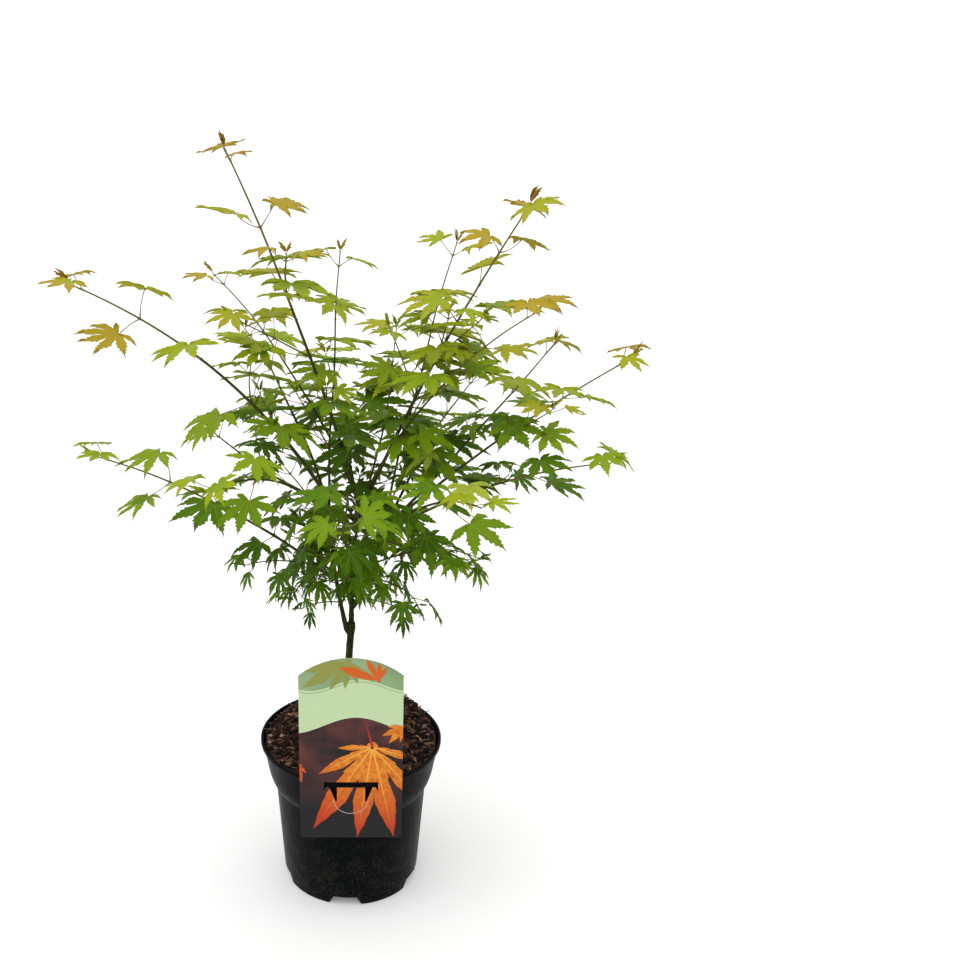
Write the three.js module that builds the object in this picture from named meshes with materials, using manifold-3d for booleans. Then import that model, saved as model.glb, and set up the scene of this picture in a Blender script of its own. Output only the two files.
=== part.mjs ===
// A young japanese maple in a round nursery pot, with a hanging card on the pot's front edge.
//
// Millimetres, +Z up. The origin is the middle of the pot's flat underside, and -Y is the front.
// Every sub-part is one closed solid with its own mesh. The plant is a trunk, three main boughs, a
// dense heart of leaves, and a spray of leaves along each shoot.

import * as THREE from 'three';
import { mergeVertices } from 'three/addons/utils/BufferGeometryUtils.js';
import Module from 'manifold-3d';

const wasm = await Module();
wasm.setup();

// ---------------------------------------------------------------- driving dimensions

const GAP = 0.35; // clear space left between two pieces that meet
const TAU = 2 * Math.PI;

// Pot
const POT_HEIGHT = 163.5;
const LIP_RADIUS = 95;
const LIP_HEIGHT = 4;
const LIP_STANDS_OUT = 2.5; // how far the lip stands proud of the collar under it
const COLLAR_FOOT = { radius: 79.5, height: 111 };
const COLLAR_BEND = { radius: 83.9, height: 119 };
const SHOULDER = { radius: 87.9, height: 134 };
const BODY_TOP = { radius: 78.8, height: 103 };
const FOOT_RADIUS = 70;
const WALL_FOOT = { radius: 71.2, height: 6 }; // where the wall ends in the turn to the foot ring
const LIP_EDGE = 0.8; // the lip's outer edges are broken this much
const LIP_TOP_WIDTH = 2;
const LIP_INSIDE = { radius: 91.6, height: 162.5 };
const WALL = 1.8;
const FLOOR_HEIGHT = 9; // top face of the floor
const FOOT_RING = 5; // width of the ring that the pot stands on
const BOSS_RADIUS = 22; // flat pad in the middle of the underside
const UNDERSIDE_SLOPE = 2; // how far the sides of the underside's hollow lean
const POT_SIDES = 22;

// Drain notches in the foot ring
const NOTCH_COUNT = 5;
const NOTCH_HEIGHT = 9.5;
const NOTCH_FOOT_WIDTH = 36;
const NOTCH_TOP_WIDTH = 24;
const NOTCH_TURN = THREE.MathUtils.degToRad(-95);

// Potting mix
const MIX_EDGE_DROP = 5; // surface at the wall, below the lip
const MIX_RISE = 7; // surface at the trunk, above the lip
const MIX_BACK_RISE = 2.5; // the surface is this much higher at the back
const MIX_CLEAR = 1.4; // between the mix and the faceted wall
const MIX_SIDES = 16;
const MIX_BUMP = 2.4;

// Hanging card
const CARD_WIDTH = 102;
const CARD_FOOT = 100;
const CARD_SHOULDER = 284;
const CARD_TOP = 303;
const CARD_THICK = 0.6;
const CARD_FRONT = -93.6; // y of its printed face, just behind the foremost part of the lip
const CARD_CORNER = 3;
const SLOT_WIDTH = 54;
const SLOT_HOOK = 4.5; // how far the slot's ends turn down
const SLOT_HOOK_WIDTH = 2.5;
const SLOT_LEG_OUT = 21.5; // outer edge of each leg, from the middle
const SLOT_LEG_WIDTH = 7.5;
const SLOT_LEG_LENGTH = 16;
const SLOT_FOOT = 158.6;
const SLOT_TOP = 164.8;

// Trunk and main boughs
const TRUNK_FLARE = 7; // radius at the cut
const TRUNK_FOOT_RADIUS = 4.4;
const TRUNK_TOP_RADIUS = 3.5;
const FLARE_HEIGHT = 16;
const FORK_HEIGHT = 291;
const FORK_SWELL = 1.25;
const TRUNK_LEAN = -3; // the cut's x, to the left of the fork
const LIMB_SIDES = 7;
const BOUGH_END = 392; // every bough has entered the heart at this height
const BOUGHS = {
  bough_centre: { from: [0, 0, FORK_HEIGHT - 5], to: [5, 4, BOUGH_END], bow: [-1, 1], foot: 3.1, end: 2.5 },
  bough_left: { from: [-1, 0, FORK_HEIGHT - 6], to: [-21, -4, BOUGH_END], bow: [-4, 0], foot: 2.8, end: 2.3 },
  bough_right: { from: [2, 1, 316], to: [32, -5, BOUGH_END], bow: [2, -1], foot: 2.5, end: 2.1 },
};

// The dense heart of leaves round the boughs' upper ends
const HEART_FOOT = 386;
const HEART_TOP = 492;
const HEART_CORE = 30;
const HEART_TIERS = 4;
const HEART_TIER_RADIUS = 84;
const HEART_SIDES = 8;
const HEART_LEVEL = 438; // middle of the room that it fills, which no pair of a spray enters
const HEART_WIDE = 92;
const HEART_DEEP = 70;

// Shoots: each leaves a point of the limbs, and runs in a bowed line to its tip.
// from: where it starts; turn: its tip's direction round the trunk, degrees from +X; reach: its
// tip's distance from the trunk's axis; top: its tip's height; arch: how far its middle stands
// above the straight line; spread: half the width of its lowest pair of leaves.
const LEFT_TOP = [-22, -5, 424];
const CENTRE_TOP = [4, 5, 424];
const RIGHT_TOP = [32, -5, 395];
const SHOOTS = {
  spray_leader: { from: CENTRE_TOP, turn: 190, reach: 119, top: 784, arch: 8, spread: 58 },
  spray_right_leader: { from: [14, 0, 413], turn: 7, reach: 175, top: 727, arch: 14, spread: 56 },
  spray_left_high: { from: LEFT_TOP, turn: 186, reach: 270, top: 657, arch: 33, spread: 58 },
  spray_left_low: { from: [-20, 0, 340], turn: 194, reach: 258, top: 501, arch: 20, spread: 54 },
  spray_right_high: { from: RIGHT_TOP, turn: -2, reach: 276, top: 583, arch: 12, spread: 56 },
  spray_right_low: { from: RIGHT_TOP, turn: -14, reach: 262, top: 491, arch: 17, spread: 54 },
  spray_left_inner: { from: [7, 10, 425], turn: 143, reach: 184, top: 640, arch: 18, spread: 48 },
  spray_centre_tall: { from: LEFT_TOP, turn: 99, reach: 61, top: 676, arch: 4, spread: 46 },
  spray_right_thin: { from: RIGHT_TOP, turn: 40, reach: 141, top: 678, arch: 5, spread: 50 },
  spray_right_inner: { from: [14, 0, 429], turn: -27, reach: 195, top: 647, arch: 22, spread: 52 },
  spray_right_mid: { from: RIGHT_TOP, turn: 29, reach: 250, top: 566, arch: -4, spread: 52 },
  spray_centre_thin: { from: [24, 20, 400], turn: 71, reach: 148, top: 580, arch: 8, spread: 48 },
  spray_left_mid: { from: LEFT_TOP, turn: 152, reach: 174, top: 483, arch: -5, spread: 50 },
  spray_back: { from: CENTRE_TOP, turn: 97, reach: 232, top: 520, arch: 16, spread: 54 },
  spray_back_left: { from: LEFT_TOP, turn: 122, reach: 226, top: 560, arch: 20, spread: 54 },
  spray_back_right: { from: RIGHT_TOP, turn: 54, reach: 240, top: 505, arch: 16, spread: 54 },
  spray_front: { from: CENTRE_TOP, turn: -92, reach: 205, top: 470, arch: 18, spread: 52 },
  spray_front_left: { from: LEFT_TOP, turn: -128, reach: 218, top: 500, arch: 20, spread: 52 },
  spray_front_right: { from: RIGHT_TOP, turn: -58, reach: 220, top: 492, arch: 18, spread: 52 },
  skirt_left: { from: [-14, -1, 352], turn: 196, reach: 132, top: 366, arch: 12, spread: 46 },
  skirt_right: { from: [22, -2, 366], turn: -8, reach: 152, top: 362, arch: 14, spread: 48 },
  skirt_front_left: { from: [-16, -2, 366], turn: -122, reach: 122, top: 352, arch: 12, spread: 44 },
  skirt_front_right: { from: [14, 0, 345], turn: -52, reach: 118, top: 340, arch: 12, spread: 42 },
  skirt_back_left: { from: [-10, 0, 340], turn: 128, reach: 126, top: 350, arch: 12, spread: 44 },
  skirt_back_right: { from: [10, 4, 352], turn: 60, reach: 128, top: 362, arch: 12, spread: 44 },
  skirt_low_left: { from: [-4, -1, 318], turn: 205, reach: 66, top: 318, arch: 6, spread: 30 },
  skirt_low_right: { from: [6, -1, 322], turn: -28, reach: 84, top: 316, arch: 6, spread: 32 },
};
const PAIR_STEP = 62; // distance from one pair of leaves to the next
const TIP_PAD = 9; // distance from the tip to the last pair
const FIRST_PAD = 30; // no pair is nearer than this to the shoot's start
const PAIR_CROSSING = 1.2; // each pair's turn from the one before it
const STALK_FOOT = 3; // radius of a spray's stalk where it starts
const STALK_TIP = 1.6;
const STALK_SIDES = 4;
const STALK_STEPS = 3;
const PAD_SIDES = 7;
const PAD_HALF_THICK = 6.5;
const PAD_DROOP = 9; // how far the leaf tips hang below the shoot
const TIP_SPREAD = 0.42; // a leaf's size at the tip, to its size at the foot
const PAD_WAIST = 0.42; // a pair's size along the shoot, to its size across

// ---------------------------------------------------------------- materials

function finish(color, roughness) {
  return new THREE.MeshStandardMaterial({ color, roughness, metalness: 0 });
}

const PLASTIC = finish(0x17181a, 0.5);
const MIX = finish(0x3d2a1d, 0.95);
const CARD = finish(0xb9c98f, 0.45);
const BARK = finish(0x5a5233, 0.8);
const LEAVES = finish(0x7a9e14, 0.6);

// ---------------------------------------------------------------- helpers

// The same number from -1 to 1 for the same seed, every time.
function chance(seed) {
  const wave = Math.sin(seed * 12.9898 + 4.1414) * 43758.5453;
  return 2 * (wave - Math.floor(wave)) - 1;
}

// Welds a geometry's shared corners, drops the faces that this collapses, and makes it a solid.
function toSolid(geometry) {
  geometry.deleteAttribute('normal');
  geometry.deleteAttribute('uv');
  const welded = mergeVertices(geometry, 1e-4);
  const corners = welded.index.array;
  const faces = [];
  for (let i = 0; i < corners.length; i += 3) {
    const [a, b, c] = corners.slice(i, i + 3);
    if (a !== b && b !== c && c !== a) faces.push(a, b, c);
  }
  return new wasm.Manifold(
    new wasm.Mesh({
      numProp: 3,
      vertProperties: new Float32Array(welded.attributes.position.array),
      triVerts: new Uint32Array(faces),
    }),
  );
}

function toGeometry(solid) {
  const mesh = solid.getMesh();
  const geometry = new THREE.BufferGeometry();
  geometry.setAttribute('position', new THREE.BufferAttribute(mesh.vertProperties, 3));
  geometry.setIndex(new THREE.BufferAttribute(mesh.triVerts, 1));
  geometry.computeVertexNormals();
  return geometry;
}

// A solid of rows of points round a line. Each row is a function of the angle round it, and gives
// the point there; a row's middle closes the two ends.
function loft(rows, sides) {
  const geometry = new THREE.CylinderGeometry(1, 1, 1, sides, rows.length - 1);
  const place = geometry.attributes.position;
  for (let i = 0; i < place.count; i += 1) {
    const x = place.getX(i);
    const z = place.getZ(i);
    const row = rows[Math.round((place.getY(i) + 0.5) * (rows.length - 1))];
    const onWall = Math.hypot(x, z) > 0.5;
    const step = Math.round((Math.atan2(x, z) / TAU) * sides);
    const point = onWall ? row.edge(((step + sides) % sides) * (TAU / sides)) : row.middle;
    place.setXYZ(i, point.x, point.y, point.z);
  }
  return toSolid(geometry);
}

// A round row in the plane across a bowed line. Its side direction is level, and the same in every
// row of the line, so that the rows don't twist.
function rowAcross(line, at, radius) {
  const middle = line.getPoint(at);
  const along = line.getTangent(at);
  const chord = line.v2.clone().sub(line.v0);
  const side = new THREE.Vector3(-chord.y, chord.x, 0).normalize();
  side.addScaledVector(along, -side.dot(along)).normalize();
  const ahead = new THREE.Vector3().crossVectors(side, along).normalize();
  const edge = (angle) =>
    middle
      .clone()
      .addScaledVector(ahead, radius * Math.cos(angle))
      .addScaledVector(side, radius * Math.sin(angle));
  return { middle, edge };
}

// A level row: radius(angle) is its size, at the height given.
function rowLevel(x, y, height, radius) {
  const middle = new THREE.Vector3(x, y, height(null));
  const edge = (angle) =>
    new THREE.Vector3(
      x + radius(angle) * Math.cos(angle),
      y + radius(angle) * Math.sin(angle),
      height(angle),
    );
  return { middle, edge };
}

// ---------------------------------------------------------------- pot

function potWall() {
  const lipUnder = POT_HEIGHT - LIP_HEIGHT;
  const collarTop = LIP_RADIUS - LIP_STANDS_OUT;
  const inside = (radius) => radius - WALL;
  const profile = [
    [FOOT_RADIUS - FOOT_RING, 0],
    [FOOT_RADIUS, 0],
    [WALL_FOOT.radius, WALL_FOOT.height],
    [BODY_TOP.radius, BODY_TOP.height],
    [COLLAR_FOOT.radius, COLLAR_FOOT.height],
    [COLLAR_BEND.radius, COLLAR_BEND.height],
    [SHOULDER.radius, SHOULDER.height],
    [collarTop, lipUnder],
    [LIP_RADIUS - LIP_EDGE, lipUnder],
    [LIP_RADIUS, lipUnder + LIP_EDGE],
    [LIP_RADIUS, POT_HEIGHT - LIP_EDGE],
    [LIP_RADIUS - LIP_EDGE, POT_HEIGHT],
    [LIP_RADIUS - LIP_EDGE - LIP_TOP_WIDTH, POT_HEIGHT],
    [LIP_INSIDE.radius, LIP_INSIDE.height],
    [inside(SHOULDER.radius), SHOULDER.height],
    [inside(COLLAR_BEND.radius), COLLAR_BEND.height],
    [inside(COLLAR_FOOT.radius), COLLAR_FOOT.height],
    [inside(BODY_TOP.radius), BODY_TOP.height],
    [inside(WALL_FOOT.radius), FLOOR_HEIGHT],
    [0, FLOOR_HEIGHT],
    [0, 0],
    [BOSS_RADIUS, 0],
    [BOSS_RADIUS + UNDERSIDE_SLOPE, FLOOR_HEIGHT - WALL],
    [FOOT_RADIUS - FOOT_RING - UNDERSIDE_SLOPE, FLOOR_HEIGHT - WALL],
    [FOOT_RADIUS - FOOT_RING, 0],
  ];
  const points = profile.map(([radius, height]) => new THREE.Vector2(radius, height));
  const wall = new THREE.LatheGeometry(points, POT_SIDES);
  return wall.rotateX(Math.PI / 2);
}

// One drain notch: a block that narrows upwards, standing across the foot ring.
function notchBlock(turn) {
  const outline = new THREE.Shape([
    new THREE.Vector2(-NOTCH_FOOT_WIDTH / 2, -1),
    new THREE.Vector2(NOTCH_FOOT_WIDTH / 2, -1),
    new THREE.Vector2(NOTCH_TOP_WIDTH / 2, NOTCH_HEIGHT),
    new THREE.Vector2(-NOTCH_TOP_WIDTH / 2, NOTCH_HEIGHT),
  ]);
  const block = new THREE.ExtrudeGeometry(outline, { depth: FOOT_RING * 4, bevelEnabled: false });
  block.rotateX(Math.PI / 2);
  block.translate(0, FOOT_RADIUS + FOOT_RING * 2, 0);
  return block.rotateZ(turn - Math.PI / 2);
}

function makePot() {
  let pot = toSolid(potWall());
  for (let i = 0; i < NOTCH_COUNT; i += 1) {
    const floorCut = toSolid(notchBlock(NOTCH_TURN + (i * TAU) / NOTCH_COUNT));
    pot = pot.subtract(floorCut);
  }
  return pot;
}

// ---------------------------------------------------------------- potting mix

// The mix's radius where it lies against the pot's wall, at a height.
function mixRadius(height) {
  const steps = [
    [FLOOR_HEIGHT, WALL_FOOT.radius],
    [BODY_TOP.height, BODY_TOP.radius],
    [COLLAR_FOOT.height, COLLAR_FOOT.radius],
    [COLLAR_BEND.height, COLLAR_BEND.radius],
    [SHOULDER.height, SHOULDER.radius],
    [LIP_INSIDE.height, LIP_INSIDE.radius + WALL],
  ];
  const upper = Math.max(1, steps.findIndex(([level]) => level >= height));
  const [above, wide] = steps[upper];
  const [below, narrow] = steps[upper - 1];
  return THREE.MathUtils.mapLinear(height, below, above, narrow, wide) - WALL - MIX_CLEAR;
}

function makeMix() {
  const edgeHeight = POT_HEIGHT - MIX_EDGE_DROP;
  const trunkHeight = POT_HEIGHT + MIX_RISE;
  const wallRow = (height) => rowLevel(0, 0, () => height, () => mixRadius(height));
  const surfaceRow = (share, seed) => {
    const level = THREE.MathUtils.lerp(trunkHeight, edgeHeight, share ** 2.2);
    const height = (angle) => {
      if (angle === null) return level;
      const backRise = MIX_BACK_RISE * Math.sin(angle - 0.5) * share;
      return level + backRise + MIX_BUMP * chance(seed + Math.round(angle * 10)) * Math.sqrt(share);
    };
    return rowLevel(0, 0, height, (angle) => mixRadius(Math.min(height(angle), edgeHeight)) * share);
  };
  const footRow = rowLevel(TRUNK_LEAN, 0, () => trunkHeight, () => TRUNK_FLARE + 3);
  const levels = [FLOOR_HEIGHT + GAP, BODY_TOP.height, COLLAR_FOOT.height, COLLAR_BEND.height];
  const rows = [...levels, SHOULDER.height, edgeHeight - 10].map(wallRow);
  rows.push(surfaceRow(1, 3), surfaceRow(0.82, 40), surfaceRow(0.6, 90), surfaceRow(0.36, 150), footRow);
  return loft(rows, MIX_SIDES);
}

// ---------------------------------------------------------------- hanging card

function makeCard() {
  const half = CARD_WIDTH / 2;
  const rise = CARD_TOP - CARD_SHOULDER;
  const archRadius = (half * half + rise * rise) / (2 * rise);
  const spring = Math.asin(half / archRadius);
  const outline = new THREE.Shape();
  outline.moveTo(-half + CARD_CORNER, CARD_FOOT);
  outline.lineTo(half - CARD_CORNER, CARD_FOOT);
  outline.absarc(half - CARD_CORNER, CARD_FOOT + CARD_CORNER, CARD_CORNER, -Math.PI / 2, 0, false);
  outline.lineTo(half, CARD_SHOULDER);
  outline.absarc(0, CARD_TOP - archRadius, archRadius, Math.PI / 2 - spring, Math.PI / 2 + spring, false);
  outline.lineTo(-half, CARD_FOOT + CARD_CORNER);
  outline.absarc(-half + CARD_CORNER, CARD_FOOT + CARD_CORNER, CARD_CORNER, Math.PI, 1.5 * Math.PI, false);
  outline.holes.push(cardSlot());
  const card = new THREE.ExtrudeGeometry(outline, { depth: CARD_THICK, bevelEnabled: false, curveSegments: 6 });
  card.rotateX(Math.PI / 2);
  return toSolid(card.translate(0, CARD_FRONT + CARD_THICK, 0));
}

// The slot that the lip catches in: a bar with its ends turned down, and two tapering legs.
function cardSlot() {
  const half = SLOT_WIDTH / 2;
  const legIn = SLOT_LEG_OUT - SLOT_LEG_WIDTH;
  const side = [
    [half, SLOT_TOP],
    [half, SLOT_FOOT - SLOT_HOOK],
    [half - SLOT_HOOK_WIDTH, SLOT_FOOT],
    [SLOT_LEG_OUT, SLOT_FOOT],
    [legIn + 1.5, SLOT_FOOT - SLOT_LEG_LENGTH],
    [legIn, SLOT_FOOT - SLOT_LEG_LENGTH],
    [legIn, SLOT_FOOT],
  ];
  const other = side.map(([x, z]) => [-x, z]).reverse();
  return new THREE.Path([...side, ...other].map(([x, z]) => new THREE.Vector2(x, z)));
}

// ---------------------------------------------------------------- trunk and boughs

function trunkLine() {
  const foot = POT_HEIGHT + MIX_RISE + GAP;
  return new THREE.QuadraticBezierCurve3(
    new THREE.Vector3(TRUNK_LEAN, 0, foot),
    new THREE.Vector3(TRUNK_LEAN, 1, (foot + FORK_HEIGHT) / 2),
    new THREE.Vector3(0, 0, FORK_HEIGHT + 4),
  );
}

function makeTrunk(growth) {
  const line = trunkLine();
  const foot = line.getPoint(0).z;
  const rows = [];
  const places = [0, 0.03, 0.07, 0.13, 0.25, 0.45, 0.65, 0.82, 0.92, 0.97, 1];
  places.forEach((at, index) => {
    const middle = line.getPoint(at);
    const aboveCut = middle.z - foot;
    const taper = THREE.MathUtils.lerp(TRUNK_FOOT_RADIUS, TRUNK_TOP_RADIUS, at);
    const flare = (TRUNK_FLARE - TRUNK_FOOT_RADIUS) * Math.exp((-3 * aboveCut) / FLARE_HEIGHT);
    const swell = 1 + (FORK_SWELL - 1) * Math.exp(-(((at - 0.92) / 0.05) ** 2));
    const closing = at === 1 ? 0.55 : 1;
    const radius = (angle) => {
      const ribs = 1 + 0.18 * Math.cos(3 * angle + 0.7) * Math.exp((-3 * aboveCut) / FLARE_HEIGHT);
      return (taper + flare) * ribs * swell * closing * (1 + 0.04 * chance(index * 7)) + growth;
    };
    rows.push(rowLevel(middle.x, middle.y, () => middle.z + (at === 1 ? growth : 0), radius));
  });
  return loft(rows, LIMB_SIDES);
}

function makeBough({ from, to, bow, foot, end }, growth) {
  const start = new THREE.Vector3(...from);
  const stop = new THREE.Vector3(...to);
  const control = start.clone().lerp(stop, 0.5).add(new THREE.Vector3(2 * bow[0], 2 * bow[1], 0));
  const line = new THREE.QuadraticBezierCurve3(start, control, stop);
  const rows = [];
  const count = 7;
  for (let i = 0; i < count; i += 1) {
    const at = i / (count - 1);
    const radius = THREE.MathUtils.lerp(foot, end, at) * (1 + 0.05 * chance(i + foot * 10)) + growth;
    rows.push(rowAcross(line, at, radius));
  }
  return loft(rows, LIMB_SIDES);
}

// ---------------------------------------------------------------- leaf masses

function shootLine({ from, turn, reach, top, arch }) {
  const start = new THREE.Vector3(...from);
  const heading = THREE.MathUtils.degToRad(turn);
  const tip = new THREE.Vector3(reach * Math.cos(heading), reach * Math.sin(heading), top);
  const chord = tip.clone().sub(start).normalize();
  const side = new THREE.Vector3(-chord.y, chord.x, 0).normalize();
  const upward = chord.clone().cross(side).multiplyScalar(chord.clone().cross(side).z > 0 ? 1 : -1);
  const control = start.clone().lerp(tip, 0.5).addScaledVector(upward.normalize(), 2 * arch);
  return new THREE.QuadraticBezierCurve3(start, control, tip);
}

// A level, uneven pad of leaves: a lens with a drooping rim of lobes, longest across its shoot. Its
// rim is a sharp edge, and gets a thickness only where the pad is grown to cut its neighbours clear.
function leafPad(middle, heading, { spread, waist, thick, seed, sides }, growth) {
  const across = (angle) => Math.abs(Math.sin(angle - heading));
  const radius = (angle) => {
    const size = waist + (1 - waist) * across(angle) ** 1.4;
    return spread * size * (1 + 0.16 * chance(seed * 3 + angle * 5)) + 2 * growth;
  };
  const rim = (side) => {
    const height = (angle) => {
      if (angle === null) return middle.z + side * (thick + 2 * growth);
      const hang = PAD_DROOP * across(angle) * (spread / 60) * (1 + 0.5 * chance(seed + angle));
      return middle.z - hang + side * growth;
    };
    return rowLevel(middle.x, middle.y, height, radius);
  };
  return loft([rim(-1), rim(1)], sides);
}

// The thin stalk of a spray, along its whole shoot.
function makeStalk(shoot, growth) {
  const line = shootLine(shoot);
  const rows = [];
  for (let i = 0; i <= STALK_STEPS; i += 1) {
    const at = i / STALK_STEPS;
    rows.push(rowAcross(line, at, THREE.MathUtils.lerp(STALK_FOOT, STALK_TIP, at) + growth));
  }
  return loft(rows, STALK_SIDES);
}

// The leaf pads of a spray, from its tip back to the heart. Each pair is crossed with the last one.
function makePads(name, shoot, growth) {
  const line = shootLine(shoot);
  const length = line.getLength();
  const seed = [...name].reduce((sum, letter) => sum + letter.charCodeAt(0), 0);
  const pads = [];
  let back = TIP_PAD;
  for (let pair = 0; back < length - FIRST_PAD; pair += 1) {
    const at = 1 - back / length;
    const middle = line.getPoint(at);
    const inHeart = Math.hypot(middle.x, middle.y) / HEART_WIDE;
    if (Math.hypot(inHeart, (middle.z - HEART_LEVEL) / HEART_DEEP) < 1) break;
    const size = THREE.MathUtils.lerp(1, TIP_SPREAD, 1 - back / length);
    const along = line.getTangent(at);
    const heading = Math.atan2(along.y, along.x) + (pair % 2) * PAIR_CROSSING;
    const spread = shoot.spread * size;
    const pad = { spread, waist: PAD_WAIST, thick: PAD_HALF_THICK * Math.sqrt(size), seed: seed + pair * 11 };
    pads.push(leafPad(middle, heading, { ...pad, sides: PAD_SIDES }, growth));
    back += PAIR_STEP;
  }
  return pads.reduce((all, pad) => all.add(pad));
}

function makeHeart(growth) {
  const middle = [3, 1];
  const rows = [];
  const steps = 6;
  for (let i = 0; i <= steps; i += 1) {
    const share = i / steps;
    const level = THREE.MathUtils.lerp(HEART_FOOT - growth, HEART_TOP + growth, share);
    const round = HEART_CORE * Math.sqrt(Math.max(0.08, 1 - (2 * share - 0.9) ** 2));
    const radius = (angle) => round * (1 + 0.15 * chance(i * 13 + angle * 3)) + growth;
    rows.push(rowLevel(...middle, () => level, radius));
  }
  let heart = loft(rows, HEART_SIDES);
  for (let tier = 0; tier < HEART_TIERS; tier += 1) {
    const share = tier / (HEART_TIERS - 1);
    const level = THREE.MathUtils.lerp(HEART_FOOT + 14, HEART_TOP - 8, share);
    const spread = HEART_TIER_RADIUS * (1 - 0.42 * share ** 1.5);
    const place = new THREE.Vector3(...middle, level);
    const pad = { spread, waist: 0.8, thick: 9, seed: 17 * tier + 5, sides: HEART_SIDES };
    heart = heart.add(leafPad(place, 1.1 * tier, pad, growth));
  }
  return heart;
}

// ---------------------------------------------------------------- assembly

const plant = new THREE.Group();

function addPiece(name, solid, material) {
  const mesh = new THREE.Mesh(toGeometry(solid), material);
  mesh.name = name;
  plant.add(mesh);
}

// Cuts a solid clear of its neighbours, and keeps its largest part.
function cutClear(solid, neighbours) {
  const cut = neighbours.reduce((rest, neighbour) => rest.subtract(neighbour), solid);
  const parts = cut.decompose();
  return parts.reduce((largest, part) => (part.volume() > largest.volume() ? part : largest));
}

addPiece('pot', makePot(), PLASTIC);
addPiece('potting_mix', makeMix(), MIX);
addPiece('hanging_card', makeCard(), CARD);
addPiece('trunk', makeTrunk(0), BARK);

const heartRoom = makeHeart(GAP);
const placed = [makeTrunk(GAP)];
for (const [name, bough] of Object.entries(BOUGHS)) {
  addPiece(name, cutClear(makeBough(bough, 0), [...placed, heartRoom]), BARK);
  placed.push(makeBough(bough, GAP));
}
placed.push(heartRoom);
addPiece('crown_heart', makeHeart(0), LEAVES);

// Every stalk stays whole, and each spray's pads are cut clear of the other stalks and pads.
const sprays = [];
for (const [name, shoot] of Object.entries(SHOOTS)) {
  const earlier = sprays.map((other) => other.stalkRoom);
  const stalk = cutClear(makeStalk(shoot, 0), [...placed, ...earlier]);
  sprays.push({ name, shoot, stalk, stalkRoom: makeStalk(shoot, GAP) });
}
for (const spray of sprays) {
  const others = sprays.filter((other) => other !== spray).map((other) => other.stalkRoom);
  const pads = makePads(spray.name, spray.shoot, 0);
  const clearPads = [...others, ...placed].reduce((rest, room) => rest.subtract(room), pads);
  addPiece(spray.name, cutClear(spray.stalk.add(clearPads), []), LEAVES);
  placed.push(makePads(spray.name, spray.shoot, GAP));
}

export default plant;
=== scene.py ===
"""A young japanese maple in a round nursery pot, with a picture card hung on the pot's lip.

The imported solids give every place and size: the limbs' lines, each spray's shoot, the pot, the
mix and the card. Metres, +Z up, and the card hangs on the -Y side.
"""

import math
import random
from contextlib import contextmanager

import bmesh
import bpy
import numpy as np
from mathutils import Matrix, Vector, noise
from mathutils.bvhtree import BVHTree


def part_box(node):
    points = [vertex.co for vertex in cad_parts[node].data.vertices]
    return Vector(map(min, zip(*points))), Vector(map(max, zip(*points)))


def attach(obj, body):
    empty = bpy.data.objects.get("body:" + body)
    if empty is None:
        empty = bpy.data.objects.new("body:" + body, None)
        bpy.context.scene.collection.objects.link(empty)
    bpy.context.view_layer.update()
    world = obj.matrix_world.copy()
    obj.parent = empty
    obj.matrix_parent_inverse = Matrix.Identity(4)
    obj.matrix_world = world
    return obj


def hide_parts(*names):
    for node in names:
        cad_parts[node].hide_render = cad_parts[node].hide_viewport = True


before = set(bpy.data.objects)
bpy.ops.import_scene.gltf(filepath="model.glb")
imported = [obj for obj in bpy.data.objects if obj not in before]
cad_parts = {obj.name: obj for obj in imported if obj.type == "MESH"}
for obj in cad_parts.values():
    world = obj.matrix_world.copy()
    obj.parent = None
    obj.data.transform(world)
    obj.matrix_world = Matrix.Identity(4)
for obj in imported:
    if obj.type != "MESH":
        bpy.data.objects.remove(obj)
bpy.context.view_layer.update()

MM = 0.001
TAU = 2 * math.pi
UP = Vector((0, 0, 1))

# ------------------------------------------------------------------ camera, lights and floor

CAMERA_PLACE = (0, -1.2817, 0.9289)
CAMERA_DIP = math.radians(20.47)
CAMERA_LENS = 52.08
CAMERA_SHIFT = 0.1344
CAMERA_SENSOR = 36.0
CAMERA_END = 400.0
FLOOR_SIZE = 160.0
FLOOR_WHITE = 0.93
FLOOR_LIFT = 0.13
FLOOR_DROP = 0.0002
SKY_LIGHT = 0.76
KEY_LIGHT = {"place": (-0.7, -0.6, 1.8), "spread": 80.0, "power": 1.05}
BACK_LIGHT = {"place": (0.7, 0.9, 1.5), "spread": 90.0, "power": 0.45}


def add_object(name, data):
    made = bpy.data.objects.new(name, data)
    bpy.context.scene.collection.objects.link(made)
    return made


def add_node(tree, kind, inputs, **settings):
    """A node in a tree, with its inputs given as values or as other nodes' outputs."""
    node = tree.nodes.new(kind)
    for name, value in settings.items():
        setattr(node, name, value)
    for place, value in inputs.items():
        socket = node.inputs[place]
        if isinstance(value, bpy.types.NodeSocket):
            tree.links.new(value, socket)
        elif socket.type == "RGBA" and len(value) == 3:
            socket.default_value = (*value, 1)
        else:
            socket.default_value = value
    return node


def set_camera():
    lens = bpy.data.cameras.new("camera")
    lens.lens = CAMERA_LENS
    lens.sensor_width = CAMERA_SENSOR
    lens.shift_x = CAMERA_SHIFT
    lens.clip_end = CAMERA_END
    camera = add_object("camera", lens)
    camera.location = CAMERA_PLACE
    camera.rotation_euler = (math.pi / 2 - CAMERA_DIP, 0, 0)
    bpy.context.scene.camera = camera


def set_light(name, place, spread, power):
    """A wide, soft, even light from the side of `place`."""
    lamp = bpy.data.lights.new(name, "SUN")
    lamp.energy = power
    lamp.angle = math.radians(spread)
    light = add_object(name, lamp)
    light.location = place
    light.rotation_euler = (-Vector(place)).to_track_quat("-Z", "Y").to_euler()


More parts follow.
